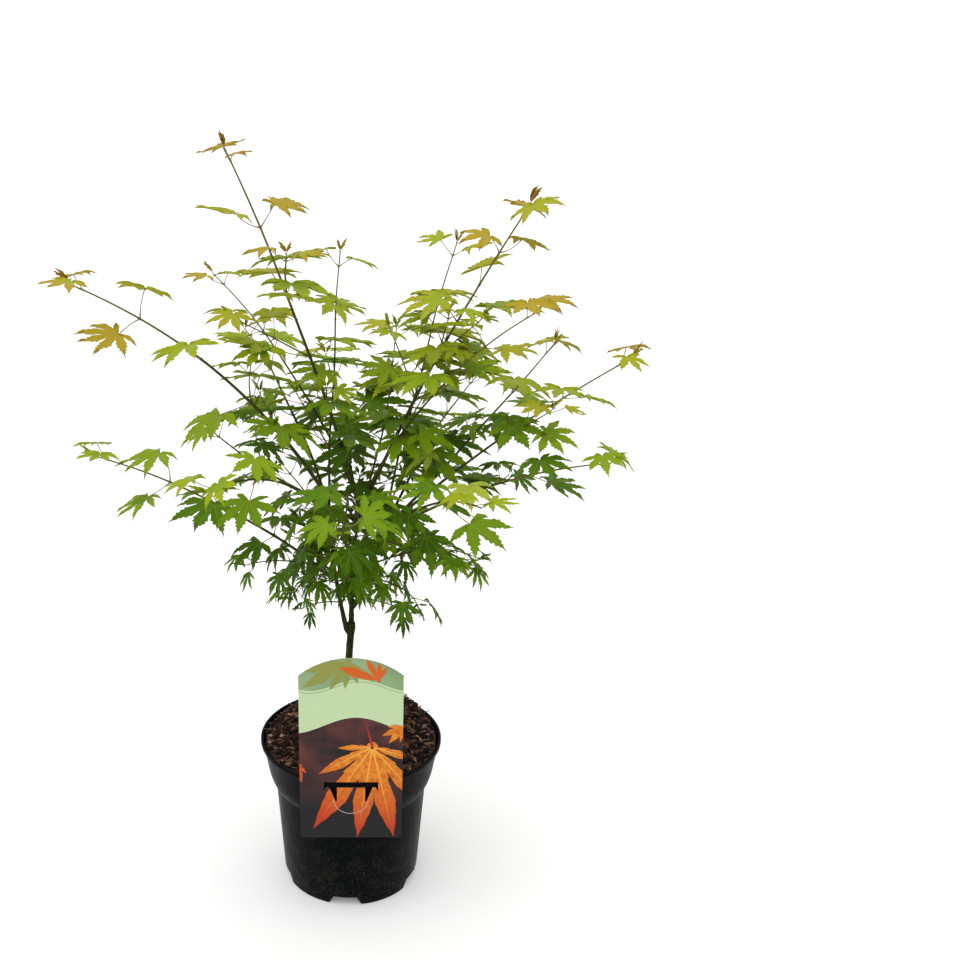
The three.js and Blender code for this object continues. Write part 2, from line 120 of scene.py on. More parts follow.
def set_stage():
    bpy.context.scene.view_settings.view_transform = "Standard"
    world = bpy.data.worlds.new("studio")
    world.use_nodes = True
    tree = world.node_tree
    wall = tree.nodes["Background"]
    wall.inputs["Color"].default_value = (1, 1, 1, 1)
    seen = add_node(tree, "ShaderNodeLightPath", {}).outputs["Is Camera Ray"]
    inputs = {"Value": seen, "To Min": SKY_LIGHT, "To Max": 1.0}
    level = add_node(tree, "ShaderNodeMapRange", inputs)
    tree.links.new(level.outputs["Result"], wall.inputs["Strength"])
    bpy.context.scene.world = world
    set_light("key_light", **KEY_LIGHT)
    set_light("back_light", **BACK_LIGHT)
    half = FLOOR_SIZE / 2
    sheet = bpy.data.meshes.new("floor")
    corners = [(-half, -half, 0), (half, -half, 0), (half, half, 0), (-half, half, 0)]
    sheet.from_pydata(corners, [], [(0, 1, 2, 3)])
    floor = add_object("floor", sheet)
    floor.location.z = -FLOOR_DROP
    glow = {"Emission_Color": (1, 1, 1, 1), "Emission_Strength": FLOOR_LIFT}
    sheet.materials.append(plain_paint("floor_white", (FLOOR_WHITE,) * 3, 0.9, **glow))


# ------------------------------------------------------------------ paints


def plain_paint(name, colour, roughness, **sockets):
    """One even finish: only plain values on the shader's own sockets."""
    paint = bpy.data.materials.new(name)
    paint.use_nodes = True
    shader = paint.node_tree.nodes["Principled BSDF"]
    shader.inputs["Base Color"].default_value = (*colour, 1)
    shader.inputs["Roughness"].default_value = roughness
    for socket, value in sockets.items():
        shader.inputs[socket.replace("_", " ")].default_value = value
    return paint


class Pattern:
    """A finish whose colour, roughness and relief come from textures on Object coordinates."""

    def __init__(self, name, roughness=0.6, **sockets):
        self.paint = plain_paint(name, (0.8, 0.8, 0.8), roughness, **sockets)
        self.tree = self.paint.node_tree
        self.shader = self.tree.nodes["Principled BSDF"]
        self.place = self.step("TexCoord", "Object", {})

    def step(self, kind, output, inputs, **settings):
        return add_node(self.tree, "ShaderNode" + kind, inputs, **settings).outputs[output]

    def stretched(self, scale):
        if not scale:
            return self.place
        return self.step("Mapping", "Vector", {"Vector": self.place, "Scale": scale})

    def noise(self, scale, detail=4.0, rough=0.55, stretch=None):
        inputs = {"Vector": self.stretched(stretch), "Scale": scale}
        return self.step("TexNoise", "Fac", {**inputs, "Detail": detail, "Roughness": rough})

    def cells(self, scale, stretch=None):
        inputs = {"Vector": self.stretched(stretch), "Scale": scale}
        return self.step("TexVoronoi", "Distance", inputs)

    def axis(self, letter):
        return self.step("SeparateXYZ", letter, {"Vector": self.place})

    def maths(self, operation, first, second=0.0):
        return self.step("Math", "Value", {0: first, 1: second}, operation=operation)

    def times(self, first, second):
        return self.maths("MULTIPLY", first, second)

    def between(self, value, low, high, out_low=0.0, out_high=1.0):
        inputs = {"Value": value, "From Min": low, "From Max": high}
        inputs |= {"To Min": out_low, "To Max": out_high}
        return self.step("MapRange", "Result", inputs)

    def blend(self, share, first, second):
        return self.step("Mix", 2, {"Factor": share, 6: first, 7: second}, data_type="RGBA")

    def colour(self, value):
        self.tree.links.new(value, self.shader.inputs["Base Color"])

    def roughness(self, value):
        self.tree.links.new(value, self.shader.inputs["Roughness"])

    def relief(self, height, depth, strength=1.0):
        inputs = {"Strength": strength, "Distance": depth, "Height": height}
        normal = self.step("Bump", "Normal", inputs)
        self.tree.links.new(normal, self.shader.inputs["Normal"])


POT_BLACK = (0.0011, 0.0014, 0.0018)
POT_SCUFF = (0.011, 0.012, 0.0125)
POT_STREAK = (0.034, 0.037, 0.032)
POT_DUST = (0.040, 0.042, 0.030)
# The mix's dark colours are partly its own damp colour and partly painted shade for the gaps between
# chips.
EARTH_BLACK = (0.012, 0.006, 0.004)
EARTH_BROWN = (0.040, 0.018, 0.011)
EARTH_CRUMB = (0.11, 0.06, 0.04)
BARK_DEEP = (0.034, 0.042, 0.006)
BARK_OLIVE = (0.076, 0.098, 0.014)
BARK_FURROW = (0.016, 0.013, 0.005)
BARK_ABOVE_FORK = (0.022, 0.018, 0.007)
BARK_PORE = (0.13, 0.13, 0.04)


def pot_plastic():
    """Black nursery-pot plastic: satin, with faint upright scuffs and a dusting of dried mix."""
    pattern = Pattern("pot_plastic", 0.42, IOR=1.11)
    height = pattern.axis("Z")
    scuffs = pattern.noise(330.0, 4.0, 0.65, stretch=(1, 1, 0.09))
    flecks = pattern.noise(620.0, 3.0, 0.6, stretch=(1, 1, 0.45))
    dust = pattern.noise(70.0, 6.0, 0.7)
    dusty = pattern.times(pattern.between(dust, 0.5, 0.8), pattern.between(height, 0.13, 0.02))
    streaky = pattern.times(pattern.between(flecks, 0.54, 0.68), pattern.between(height, 0.12, 0.02))
    base = pattern.blend(pattern.between(scuffs, 0.55, 0.8, 0.0, 0.5), POT_BLACK, POT_SCUFF)
    streaked = pattern.blend(pattern.times(streaky, 0.7), base, POT_STREAK)
    pattern.colour(pattern.blend(pattern.times(dusty, 0.6), streaked, POT_DUST))
    pattern.roughness(pattern.between(scuffs, 0.3, 0.8, 0.28, 0.55))
    pattern.relief(pattern.noise(900.0, 2.0, 0.5), 0.00012, 0.5)
    return pattern.paint


def mix_earth():
    """The fine part of the potting mix, under its chips: dark partly from its own damp colour and
    partly as painted shade in the gaps.
    """
    pattern = Pattern("mix_earth", 0.95)
    crumbs = pattern.noise(420.0, 6.0, 0.7)
    dark = pattern.blend(pattern.noise(60.0, 3.0), EARTH_BLACK, EARTH_BROWN)
    pattern.colour(pattern.blend(pattern.between(crumbs, 0.5, 0.75), dark, EARTH_CRUMB))
    pattern.relief(crumbs, 0.002, 0.9)
    return pattern.paint


def young_bark():
    """Smooth olive bark with fine upright ridges and paler breathing pores, darker above the fork."""
    pattern = Pattern("young_bark", 0.62, Specular_IOR_Level=0.08)
    ridges = pattern.noise(900.0, 4.0, 0.6, stretch=(1, 1, 0.14))
    patches = pattern.noise(120.0, 4.0, 0.6)
    pores = pattern.cells(340.0, stretch=(1, 1, 0.5))
    olive = pattern.blend(pattern.between(patches, 0.35, 0.65), BARK_DEEP, BARK_OLIVE)
    ridged = pattern.blend(pattern.between(ridges, 0.42, 0.68), BARK_FURROW, olive)
    above_fork = pattern.between(pattern.axis("Z"), 0.30, 0.36)
    bark = pattern.blend(above_fork, ridged, BARK_ABOVE_FORK)
    pattern.colour(pattern.blend(pattern.between(pores, 0.12, 0.05, 0.0, 0.6), bark, BARK_PORE))
    pattern.roughness(pattern.between(ridges, 0.3, 0.7, 0.75, 0.5))
    pattern.relief(ridges, 0.0004, 0.6)
    return pattern.paint


# ------------------------------------------------------------------ the solids' places and lines

LIMB_END_CORNERS = 8
STALK_END_SIZE = 2 * MM
STALK_END_CORNERS = 4


def corners_of(node):
    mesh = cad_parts[node].data
    flat = np.empty(len(mesh.vertices) * 3)
    mesh.vertices.foreach_get("co", flat)
    return flat.reshape(-1, 3)


class BowedLine:
    """A simple bow from a start to an end, pulled towards one control point."""

    def __init__(self, start, pull, end):
        self.start, self.pull, self.end = Vector(start), Vector(pull), Vector(end)

    def at(self, share):
        rest = 1 - share
        return rest * rest * self.start + 2 * rest * share * self.pull + share * share * self.end

    def heading(self, share):
        near = (1 - share) * (self.pull - self.start)
        return (near + share * (self.end - self.pull)).normalized()

    def places(self, steps):
        return [self.at(i / steps) for i in range(steps + 1)]

    def length(self):
        places = self.places(24)
        return sum((b - a).length for a, b in zip(places, places[1:]))


def bow_through(points, start, end):
    """The bow from start to end that lies nearest to the middle of a solid's corners."""
    start, end = np.array(start), np.array(end)
    chord = end - start
    share = np.clip((points - start) @ chord / (chord @ chord), 0.02, 0.98)[:, None]
    ends = (1 - share) ** 2 * start + share**2 * end
    weight = 2 * share * (1 - share)
    pull = (weight * (points - ends)).sum(0) / (weight**2).sum()
    return BowedLine(start, pull, end)


def limb_line(node):
    """A limb's line, from the middle of its lowest corners to the middle of its highest ones."""
    points = corners_of(node)
    order = points[points[:, 2].argsort()]
    return bow_through(points, order[:LIMB_END_CORNERS].mean(0), order[-LIMB_END_CORNERS:].mean(0))


def shoot_line(node, root):
    """The line of a spray's shoot, from its root on a limb to the end of the spray's stalk.

    The stalk's end is the furthest of the solid's corners that has a ring of others close round it.
    """
    points = np.unique(corners_of(node).round(6), axis=0)
    away = np.linalg.norm(points - np.array(root), axis=1)
    for index in away.argsort()[::-1]:
        near = np.linalg.norm(points - points[index], axis=1) < STALK_END_SIZE
        if near.sum() > STALK_END_CORNERS:
            return bow_through(points, root, points[index])
    return bow_through(points, root, points[away.argmax()])


LIMBS = ("bough_centre", "bough_left", "bough_right")
trunk_line = limb_line("trunk")
limb_lines = {name: limb_line(name) for name in LIMBS}

# Where each spray's shoot leaves the limbs: the limb, and how far along it, where 1 is the end of
# its solid and more than 1 is inside the crown.
ROOTS = {
    "spray_leader": ("bough_centre", 1.36),
    "spray_right_leader": ("bough_centre", 1.25),
    "spray_left_high": ("bough_left", 1.36),
    "spray_left_low": ("bough_left", 0.53),
    "spray_right_high": ("bough_right", 1.1),
    "spray_right_low": ("bough_right", 1.02),
    "spray_left_inner": ("bough_centre", 1.37),
    "spray_centre_tall": ("bough_left", 1.34),
    "spray_right_thin": ("bough_right", 1.1),
    "spray_right_inner": ("bough_centre", 1.38),
    "spray_right_mid": ("bough_right", 1.08),
    "spray_centre_thin": ("bough_centre", 1.12),
    "spray_left_mid": ("bough_left", 1.3),
    "spray_back": ("bough_centre", 1.3),
    "spray_back_left": ("bough_left", 1.25),
    "spray_back_right": ("bough_right", 1.0),
    "spray_front": ("bough_centre", 1.2),
    "spray_front_left": ("bough_left", 1.2),
    "spray_front_right": ("bough_right", 0.95),
    "skirt_left": ("bough_left", 0.65),
    "skirt_right": ("bough_right", 0.6),
    "skirt_front_left": ("bough_left", 0.78),
    "skirt_front_right": ("bough_centre", 0.55),
    "skirt_back_left": ("bough_left", 0.5),
    "skirt_back_right": ("bough_centre", 0.62),
    "skirt_low_left": ("bough_left", 0.3),
    "skirt_low_right": ("bough_centre", 0.33),
}

# ------------------------------------------------------------------ mesh helpers


def shade(piece, smooth):
    faces = piece.data.polygons
    faces.foreach_set("use_smooth", [smooth] * len(faces))


def mesh_piece(name, points, faces, paints, smooth=True):
    """A piece of plain mesh."""
    mesh = bpy.data.meshes.new(name)
    mesh.from_pydata([tuple(p) for p in points], [], faces)
    for paint in paints:
        mesh.materials.append(paint)
    piece = add_object(name, mesh)
    shade(piece, smooth)
    return piece


@contextmanager
def opened(mesh, into=None):
    """A mesh opened for edits, which are written back to it or into another mesh."""
    whole = bmesh.new()
    whole.from_mesh(mesh)
    yield whole
    whole.to_mesh(into or mesh)
    whole.free()


def baked_mesh(thing, name):
    """A thing's finished shape as a new plain mesh piece; the thing itself is removed."""
    depsgraph = bpy.context.evaluated_depsgraph_get()
    mesh = bpy.data.meshes.new_from_object(thing.evaluated_get(depsgraph))
    mesh.name = name
    bpy.data.objects.remove(thing)
    return add_object(name, mesh)


def on_axis(point):
    return point[0] < 1e-7


def turned_profile(profile, sides):
    """Points and faces of a closed profile of (radius, height) turned about the Z axis."""
    points, faces, rings = [], [], []
    for radius, height in profile:
        if on_axis((radius, height)):
            rings.append([len(points)] * sides)
            points.append((0, 0, height))
            continue
        rings.append([len(points) + i for i in range(sides)])
        turns = [TAU * i / sides for i in range(sides)]
        points += [(radius * math.cos(turn), radius * math.sin(turn), height) for turn in turns]
    for lower, upper in zip(rings, rings[1:] + rings[:1]):
        for i in range(sides):
            j = (i + 1) % sides
            face = [lower[i], lower[j], upper[j], upper[i]]
            face = [corner for k, corner in enumerate(face) if corner != face[k - 1]]
            if len(face) > 2:
                faces.append(tuple(face))
    return points, faces


def rounded(profile, radius, steps=3):
    """The profile with its corners turned to small arcs."""
    made = []
    for i, here in enumerate(profile):
        if on_axis(here):
            made.append(here)
            continue
        sides = [Vector(profile[j % len(profile)]) - Vector(here) for j in (i - 1, i + 1)]
        reach = min(radius, *(0.4 * side.length for side in sides))
        first, last = (Vector(here) + side.normalized() * reach for side in sides)
        made += [tuple(place) for place in BowedLine(first, here, last).places(steps)]
    return made


def geometry_tree(name, **sockets):
    """A tree of geometry nodes with its inputs, and the outputs of its input node."""
    tree = bpy.data.node_groups.new(name, "GeometryNodeTree")
    for label, kind in {"Geometry": "Geometry", **sockets}.items():
        tree.interface.new_socket(label, in_out="INPUT", socket_type="NodeSocket" + kind)
    tree.interface.new_socket("Geometry", in_out="OUTPUT", socket_type="NodeSocketGeometry")
    return tree, tree.nodes.new("NodeGroupInput").outputs


def end_tree(tree, shape, paint):
    """Ends a tree of geometry nodes: its shape is made real, painted and given out."""
    real = add_node(tree, "GeometryNodeRealizeInstances", {"Geometry": shape}).outputs[0]
    inputs = {"Geometry": real, "Material": paint}
    painted = add_node(tree, "GeometryNodeSetMaterial", inputs).outputs[0]
    add_node(tree, "NodeGroupOutput", {"Geometry": painted})


def tube_tree():
    """A tree of nodes that gives every line of a curve object a round wall of its own radius."""
    tree, given = geometry_tree("tubes", Sides="Int", Paint="Material")
    inputs = {"Resolution": given["Sides"], "Radius": 1.0}
    outline = add_node(tree, "GeometryNodeCurvePrimitiveCircle", inputs).outputs["Curve"]
    inputs = {"Curve": given["Geometry"], "Profile Curve": outline, "Fill Caps": True}
    wall = add_node(tree, "GeometryNodeCurveToMesh", inputs)
    if "Scale" in wall.inputs:
        own = add_node(tree, "GeometryNodeInputRadius", {}).outputs["Radius"]
        tree.links.new(own, wall.inputs["Scale"])
    smooth = add_node(tree, "GeometryNodeSetShadeSmooth", {"Geometry": wall.outputs["Mesh"]})
    end_tree(tree, smooth.outputs["Geometry"], given["Paint"])
    return tree


def set_inputs(modifier, **values):
    """Sets a node modifier's inputs by the names they have in its tree."""
    for item in modifier.node_group.interface.items_tree:
        key = item.name.lower().replace(" ", "_")
        if item.in_out == "INPUT" and key in values:
            modifier[item.identifier] = values[key]


def tubes(name, lines, sides, paint):
    """One mesh piece of round tubes: each line is a list of (place, radius)."""
    data = bpy.data.curves.new(name, "CURVE")
    data.dimensions = "3D"
    for line in lines:
        spline = data.splines.new("POLY")
        spline.points.add(len(line) - 1)
        for point, (place, radius) in zip(spline.points, line):
            point.co = (*place, 1)
            point.radius = radius
    thing = add_object(name + "_lines", data)
    modifier = thing.modifiers.new("tubes", "NODES")
    modifier.node_group = TUBES
    set_inputs(modifier, sides=sides, paint=paint)
    return baked_mesh(thing, name)


TUBES = tube_tree()


def joined_mesh(things, name):
    """Several mesh things as one mesh piece, with every paint kept."""
    mesh = bpy.data.meshes.new(name)
    paints = []
    with opened(mesh) as whole:
        for thing in things:
            start = len(whole.faces)
            whole.from_mesh(thing.data)
            whole.faces.ensure_lookup_table()
            for face in whole.faces[start:]:
                face.material_index += len(paints)
            paints += list(thing.data.materials)
            bpy.data.objects.remove(thing)
    for paint in paints:
        mesh.materials.append(paint)
    return add_object(name, mesh)


def mend_normals(thing):
    """Turns every face outwards and merges doubled corners."""
    with opened(thing.data) as whole:
        bmesh.ops.remove_doubles(whole, verts=whole.verts, dist=1e-6)
        bmesh.ops.recalc_face_normals(whole, faces=whole.faces)


def cut_with(thing, tool, operation):
    """Joins, cuts or trims a thing by a tool, and removes the tool."""
    name = thing.name
    modifier = thing.modifiers.new("cut", "BOOLEAN")
    modifier.operation = operation
    modifier.solver = "EXACT"
    modifier.object = tool
    made = baked_mesh(thing, name)
    bpy.data.objects.remove(tool)
    return made


def upright_plate(name, outline, front, back, paint):
    """A flat plate of a closed outline of (x, z), standing between two depths."""
    count = len(outline)
    points = [(x, front, z) for x, z in outline] + [(x, back, z) for x, z in outline]
    faces = [tuple(range(count)), tuple(reversed(range(count, 2 * count)))]
    faces += [(i, i + count, (i + 1) % count + count, (i + 1) % count) for i in range(count)]
    plate = mesh_piece(name, points, faces, [paint], smooth=False)
    mend_normals(plate)
    return plate


def finish_piece(piece, nodes=(), sharp=None):
    """Shades a piece, tells the frame what it rides on, and hides the solids that it takes the place
    of.
    """
    if sharp is not None:
        piece.data.set_sharp_from_angle(angle=math.radians(sharp))
    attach(piece, "root")
    if nodes:
        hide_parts(*nodes)


# ------------------------------------------------------------------ pot

POT_TURNS = 192
POT_HEIGHT = 163.5
LIP_RADIUS = 95.0
LIP_HEIGHT = 4.0
LIP_STANDS_OUT = 2.5
COLLAR = ((79.5, 111.0), (81.2, 114.2), (83.9, 119.0), (86.2, 126.0), (87.9, 134.0))
BODY_TOP = (78.8, 103.0)
FOOT_RADIUS = 70.0
FOOT_TURN = ((70.9, 9.5), (71.9, 10.5))
FOOT_RING = 5.0
LIP_TOP_WIDTH = 2.8
UNDERSIDE_SLOPE = 2.0
WALL = 1.8
FLOOR = 9.0
BOSS = 22.0
POT_EDGE = 0.7
NOTCH_COUNT = 5
NOTCH_HEIGHT = 9.5
NOTCH_FOOT = 36.0
NOTCH_TOP = 24.0
NOTCH_TURN = math.radians(-95)
BLOCK_FACES = ((0, 1, 3, 2), (4, 6, 7, 5), (0, 4, 5, 1), (2, 3, 7, 6), (0, 2, 6, 4), (1, 5, 7, 3))


def pot_profile():
    """The wall's closed outline as (radius, height) in mm: up the outside, and down the inside."""
    under_lip, hollow = POT_HEIGHT - LIP_HEIGHT, FLOOR - WALL
    outside = [(FOOT_RADIUS - FOOT_RING, 0), (FOOT_RADIUS, 0), *FOOT_TURN, BODY_TOP, *COLLAR]
    outside += [(LIP_RADIUS - LIP_STANDS_OUT, under_lip), (LIP_RADIUS, under_lip)]
    outside += [(LIP_RADIUS, POT_HEIGHT), (LIP_RADIUS - LIP_TOP_WIDTH, POT_HEIGHT)]
    inside = [(radius - WALL, height) for radius, height in reversed(COLLAR)]
    inside += [(BODY_TOP[0] - WALL, BODY_TOP[1]), (FOOT_RADIUS - WALL, FLOOR), (0, FLOOR)]
    under = [(0, 0), (BOSS, 0), (BOSS + UNDERSIDE_SLOPE, hollow)]
    return [*outside, *inside, *under, (FOOT_RADIUS - FOOT_RING - UNDERSIDE_SLOPE, hollow)]


def notch_cutter():
    """Five blocks, narrower upwards, standing across the foot ring."""
    points, faces = [], []
    for i in range(NOTCH_COUNT):
        turn = Matrix.Rotation(NOTCH_TURN + TAU * i / NOTCH_COUNT, 3, "Z")
        start = len(points)
        for reach in (FOOT_RADIUS - 2 * FOOT_RING, FOOT_RADIUS + 2 * FOOT_RING):
            for half, height in ((NOTCH_FOOT / 2, -1), (NOTCH_TOP / 2, NOTCH_HEIGHT)):
                points += [turn @ Vector((reach, side * half, height)) * MM for side in (-1, 1)]
        faces += [tuple(start + corner for corner in face) for face in BLOCK_FACES]
    blocks = mesh_piece("notches", points, faces, [], smooth=False)
    mend_normals(blocks)
    return blocks


def make_pot():
    profile = [(radius * MM, height * MM) for radius, height in rounded(pot_profile(), POT_EDGE)]
    wall = mesh_piece("nursery_pot", *turned_profile(profile, POT_TURNS), [pot_plastic()])
    mend_normals(wall)
    pot = cut_with(wall, notch_cutter(), "DIFFERENCE")
    shade(pot, True)
    finish_piece(pot, ["pot"], sharp=35)


# ------------------------------------------------------------------ potting mix

MIX_LEVEL = 0.16
MIX_RINGS = 60
MIX_TURNS = 150
MIX_ROUGH = 2.2 * MM
MIX_DEEP = 30 * MM
MIX_FULL = 1.5 * MM
MIX_HEAP = 13 * MM
HEAP_PLACE = (0.056, 0.045)
HEAP_SIZE = (0.026, 0.03)
MIX_WALL_GAP = 1.2 * MM
CHIPS = {
    # name: (count, (length, width, thickness) in mm, colour)
    "dark_bark": (1300, (11, 5.2, 2.0), (0.010, 0.005, 0.004)),
    "brown_bark": (1000, (10, 4.4, 1.6), (0.052, 0.022, 0.014)),
    "red_bark": (480, (9, 3.6, 1.4), (0.125, 0.052, 0.032)),
    "pale_wood": (150, (13, 3.4, 1.0), (0.36, 0.24, 0.16)),
    "grey_bark": (110, (15, 6.5, 1.8), (0.19, 0.115, 0.070)),
    "fibre": (620, (16, 0.9, 0.6), (0.22, 0.13, 0.085)),
}
CHIP_TILT, CHIP_ROLL = 0.75, 0.55
CHIP_SIZES = (0.45, 1.25)
CHIP_WALL_GAP = 3.5 * MM
CHIP_END_GAP = 0.5 * MM


def top_of(node):
    """A function that gives the height of a CAD solid's top face over a place."""
    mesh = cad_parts[node].data
    corners = [corner.co for corner in mesh.vertices]
    tree = BVHTree.FromPolygons(corners, [tuple(face.vertices) for face in mesh.polygons])

    def height(x, y, otherwise):
        hit = tree.ray_cast(Vector((x, y, 1.0)), -UP)[0]
        return hit.z if hit else otherwise

    return height


def heap(x, y):
    """How much higher the mix is over a place, for its heap at the back right."""
    away = [(at - middle) / size for at, middle, size in zip((x, y), HEAP_PLACE, HEAP_SIZE)]
    return MIX_HEAP * math.exp(-(away[0] ** 2) - away[1] ** 2)


def make_mix_surface(paint):
    """The mix as a closed bed: rings of points on its rough top, a wall, and a flat foot."""
    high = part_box("potting_mix")[1][2]
    height = top_of("potting_mix")
    edge = inside_radius(high) - MIX_WALL_GAP
    turns = [(math.cos(TAU * i / MIX_TURNS), math.sin(TAU * i / MIX_TURNS)) for i in range(MIX_TURNS)]
    points, faces = [(0, 0, height(0, 0, high))], []
    for ring in range(1, MIX_RINGS + 1):
        share = ring / MIX_RINGS
        inward = min(share, 0.96) / share
        rough = MIX_ROUGH * (1 - math.exp(-(((1 - share) / 0.04) ** 2)) * 0.6)
        for across, ahead in turns:
            x, y = edge * share * across, edge * share * ahead
            level = height(x * inward, y * inward, high) + MIX_FULL * share**2 + heap(x, y)
            lumps = noise.fractal(Vector((x, y, 0)) * 90, 0.8, 2.2, 4)
            points.append((x, y, level + rough * lumps))
    foot = high - MIX_DEEP
    reach = inside_radius(foot) - MIX_WALL_GAP
    points += [(reach * across, reach * ahead, foot) for across, ahead in turns]
    points.append((0, 0, foot))
    last = 1 + MIX_RINGS * MIX_TURNS
    for i in range(MIX_TURNS):
        j = (i + 1) % MIX_TURNS
        faces.append((0, 1 + i, 1 + j))
        for a in range(1, last, MIX_TURNS):
            b = a + MIX_TURNS
            faces.append((a + i, b + i, b + j, a + j))
        faces.append((last + i, len(points) - 1, last + j))
    return mesh_piece("potting_mix_bed", points, faces, [paint])


def inside_radius(height):
    """The pot's inner radius at a height, both in metres."""
    steps = [(FOOT_RADIUS, FLOOR), BODY_TOP, *COLLAR, (LIP_RADIUS - LIP_STANDS_OUT, POT_HEIGHT)]
    radii, heights = zip(*steps)
    return (np.interp(height / MM, heights, radii) - WALL) * MM


def chip_shape(name, size, seed):
    """A splinter of bark: a bent box with its ends torn to uneven points."""
    rng = random.Random(seed)
    mesh = bpy.data.meshes.new(name)
    length, wide, thick = (part * MM for part in size)
    with opened(mesh) as whole:
        bmesh.ops.create_cube(whole, size=1.0)
        long = [e for e in whole.edges if abs(e.verts[0].co.x - e.verts[1].co.x) > 0.5]
        bmesh.ops.subdivide_edges(whole, edges=long, cuts=2)
        for corner in whole.verts:
            narrow = 1 - 0.75 * (2 * abs(corner.co.x)) ** 3 * rng.uniform(0.6, 1)
            corner.co.x *= length * rng.uniform(0.85, 1.15)
            corner.co.y *= wide * narrow
            corner.co.z = corner.co.z * thick + 0.06 * length * math.cos(corner.co.x / MM * 0.5)
    return add_object(name, mesh)


def scatter_tree():
    """A tree of nodes that strews one shape over a surface, each copy turned and sized by chance."""
    sockets = {"Chip": "Object", "Density": "Float", "Seed": "Int", "Paint": "Material"}
    tree, given = geometry_tree("scatter", **sockets)
    seed = {"Seed": given["Seed"]}
    inputs = {"Mesh": given["Geometry"], "Density": given["Density"], **seed}
    spread = add_node(tree, "GeometryNodeDistributePointsOnFaces", inputs)
    inputs = {"Min": (-CHIP_TILT, -CHIP_ROLL, 0), "Max": (CHIP_TILT, CHIP_ROLL, TAU), **seed}
    turn = add_node(tree, "FunctionNodeRandomValue", inputs, data_type="FLOAT_VECTOR")
    size = add_node(tree, "FunctionNodeRandomValue", {2: CHIP_SIZES[0], 3: CHIP_SIZES[1], **seed})
    chip = add_node(tree, "GeometryNodeObjectInfo", {"Object": given["Chip"]})
    inputs = {"Points": spread.outputs["Points"], "Instance": chip.outputs["Geometry"]}
    inputs |= {"Rotation": turn.outputs["Value"], "Scale": size.outputs[1]}
    put = add_node(tree, "GeometryNodeInstanceOnPoints", inputs)
    end_tree(tree, put.outputs["Instances"], given["Paint"])
    return tree


def upper_face(bed):
    """A copy of the bed's upper face, without the strip along the pot's wall."""
    mesh = bpy.data.meshes.new("strewn")
    reach = max(corner.co.xy.length for corner in bed.data.vertices) - CHIP_WALL_GAP

    def outside(face):
        return face.normal.z < 0.4 or face.calc_center_median().xy.length > reach

    with opened(bed.data, mesh) as whole:
        bmesh.ops.delete(whole, geom=[face for face in whole.faces if outside(face)], context="FACES")
    return mesh


def press_in(piece):
    """Presses in the ends of chips that would pass through the pot's wall."""
    for corner in piece.data.vertices:
        reach, limit = corner.co.xy.length, inside_radius(corner.co.z) + CHIP_END_GAP
        if reach > limit and corner.co.z < POT_HEIGHT * MM:
            corner.co.xy *= limit / reach


def make_mix():
    bed = make_mix_surface(mix_earth())
    mend_normals(bed)
    tree = scatter_tree()
    ground = math.pi * inside_radius(MIX_LEVEL) ** 2
    layers = []
    for seed, (name, (count, size, colour)) in enumerate(CHIPS.items()):
        chip = chip_shape(name + "_shape", size, seed)
        layer = add_object(name, upper_face(bed))
        modifier = layer.modifiers.new("scatter", "NODES")
        modifier.node_group = tree
        paint = plain_paint(name, colour, 0.85, Specular_IOR_Level=0.12)
        set_inputs(modifier, chip=chip, density=count / ground, seed=seed + 3, paint=paint)
        layers.append(baked_mesh(layer, name))
        bpy.data.objects.remove(chip)
    chips = joined_mesh(layers, "bark_chips")
    press_in(chips)
    finish_piece(bed, ["potting_mix"])
    finish_piece(chips)


# ------------------------------------------------------------------ hanging card

CARD_PALE = (0.50, 0.64, 0.37)
CARD_GREEN = (0.20, 0.31, 0.15)
CARD_RULE = (0.20, 0.30, 0.12)
CARD_DARK = (0.006, 0.0045, 0.006)
CARD_MAROON = (0.120, 0.028, 0.022)
CARD_MIST = (0.30, 0.42, 0.22)
CARD_BACK = (0.72, 0.74, 0.70)
LEAF_AMBER = (0.52, 0.11, 0.007)
LEAF_YOLK = (0.80, 0.29, 0.022)
LEAF_SCARLET = (0.48, 0.026, 0.008)
# The head's and the band's wavy lower edges: middle, swing, peak's place and period, in mm.
HEAD_EDGE = (273.7, 6.3, 8, 96)
BAND_EDGE = (229.0, 8.9, 5, 125)
RULE_DROP = 2.6 * MM
RULE_HALF = 0.35 * MM
ART_PROUD = 0.08 * MM
ART_SUNK = 0.05 * MM
ROOM_FORWARD = 0.3 * MM


def wave(pattern, middle, swing, peak, period):
    """A wavy level across the card, in metres."""
    across = pattern.maths("SUBTRACT", pattern.axis("X"), peak * MM)
    turn = pattern.maths("COSINE", pattern.times(across, TAU / (period * MM)))
    return pattern.maths("ADD", pattern.times(turn, swing * MM), middle * MM)


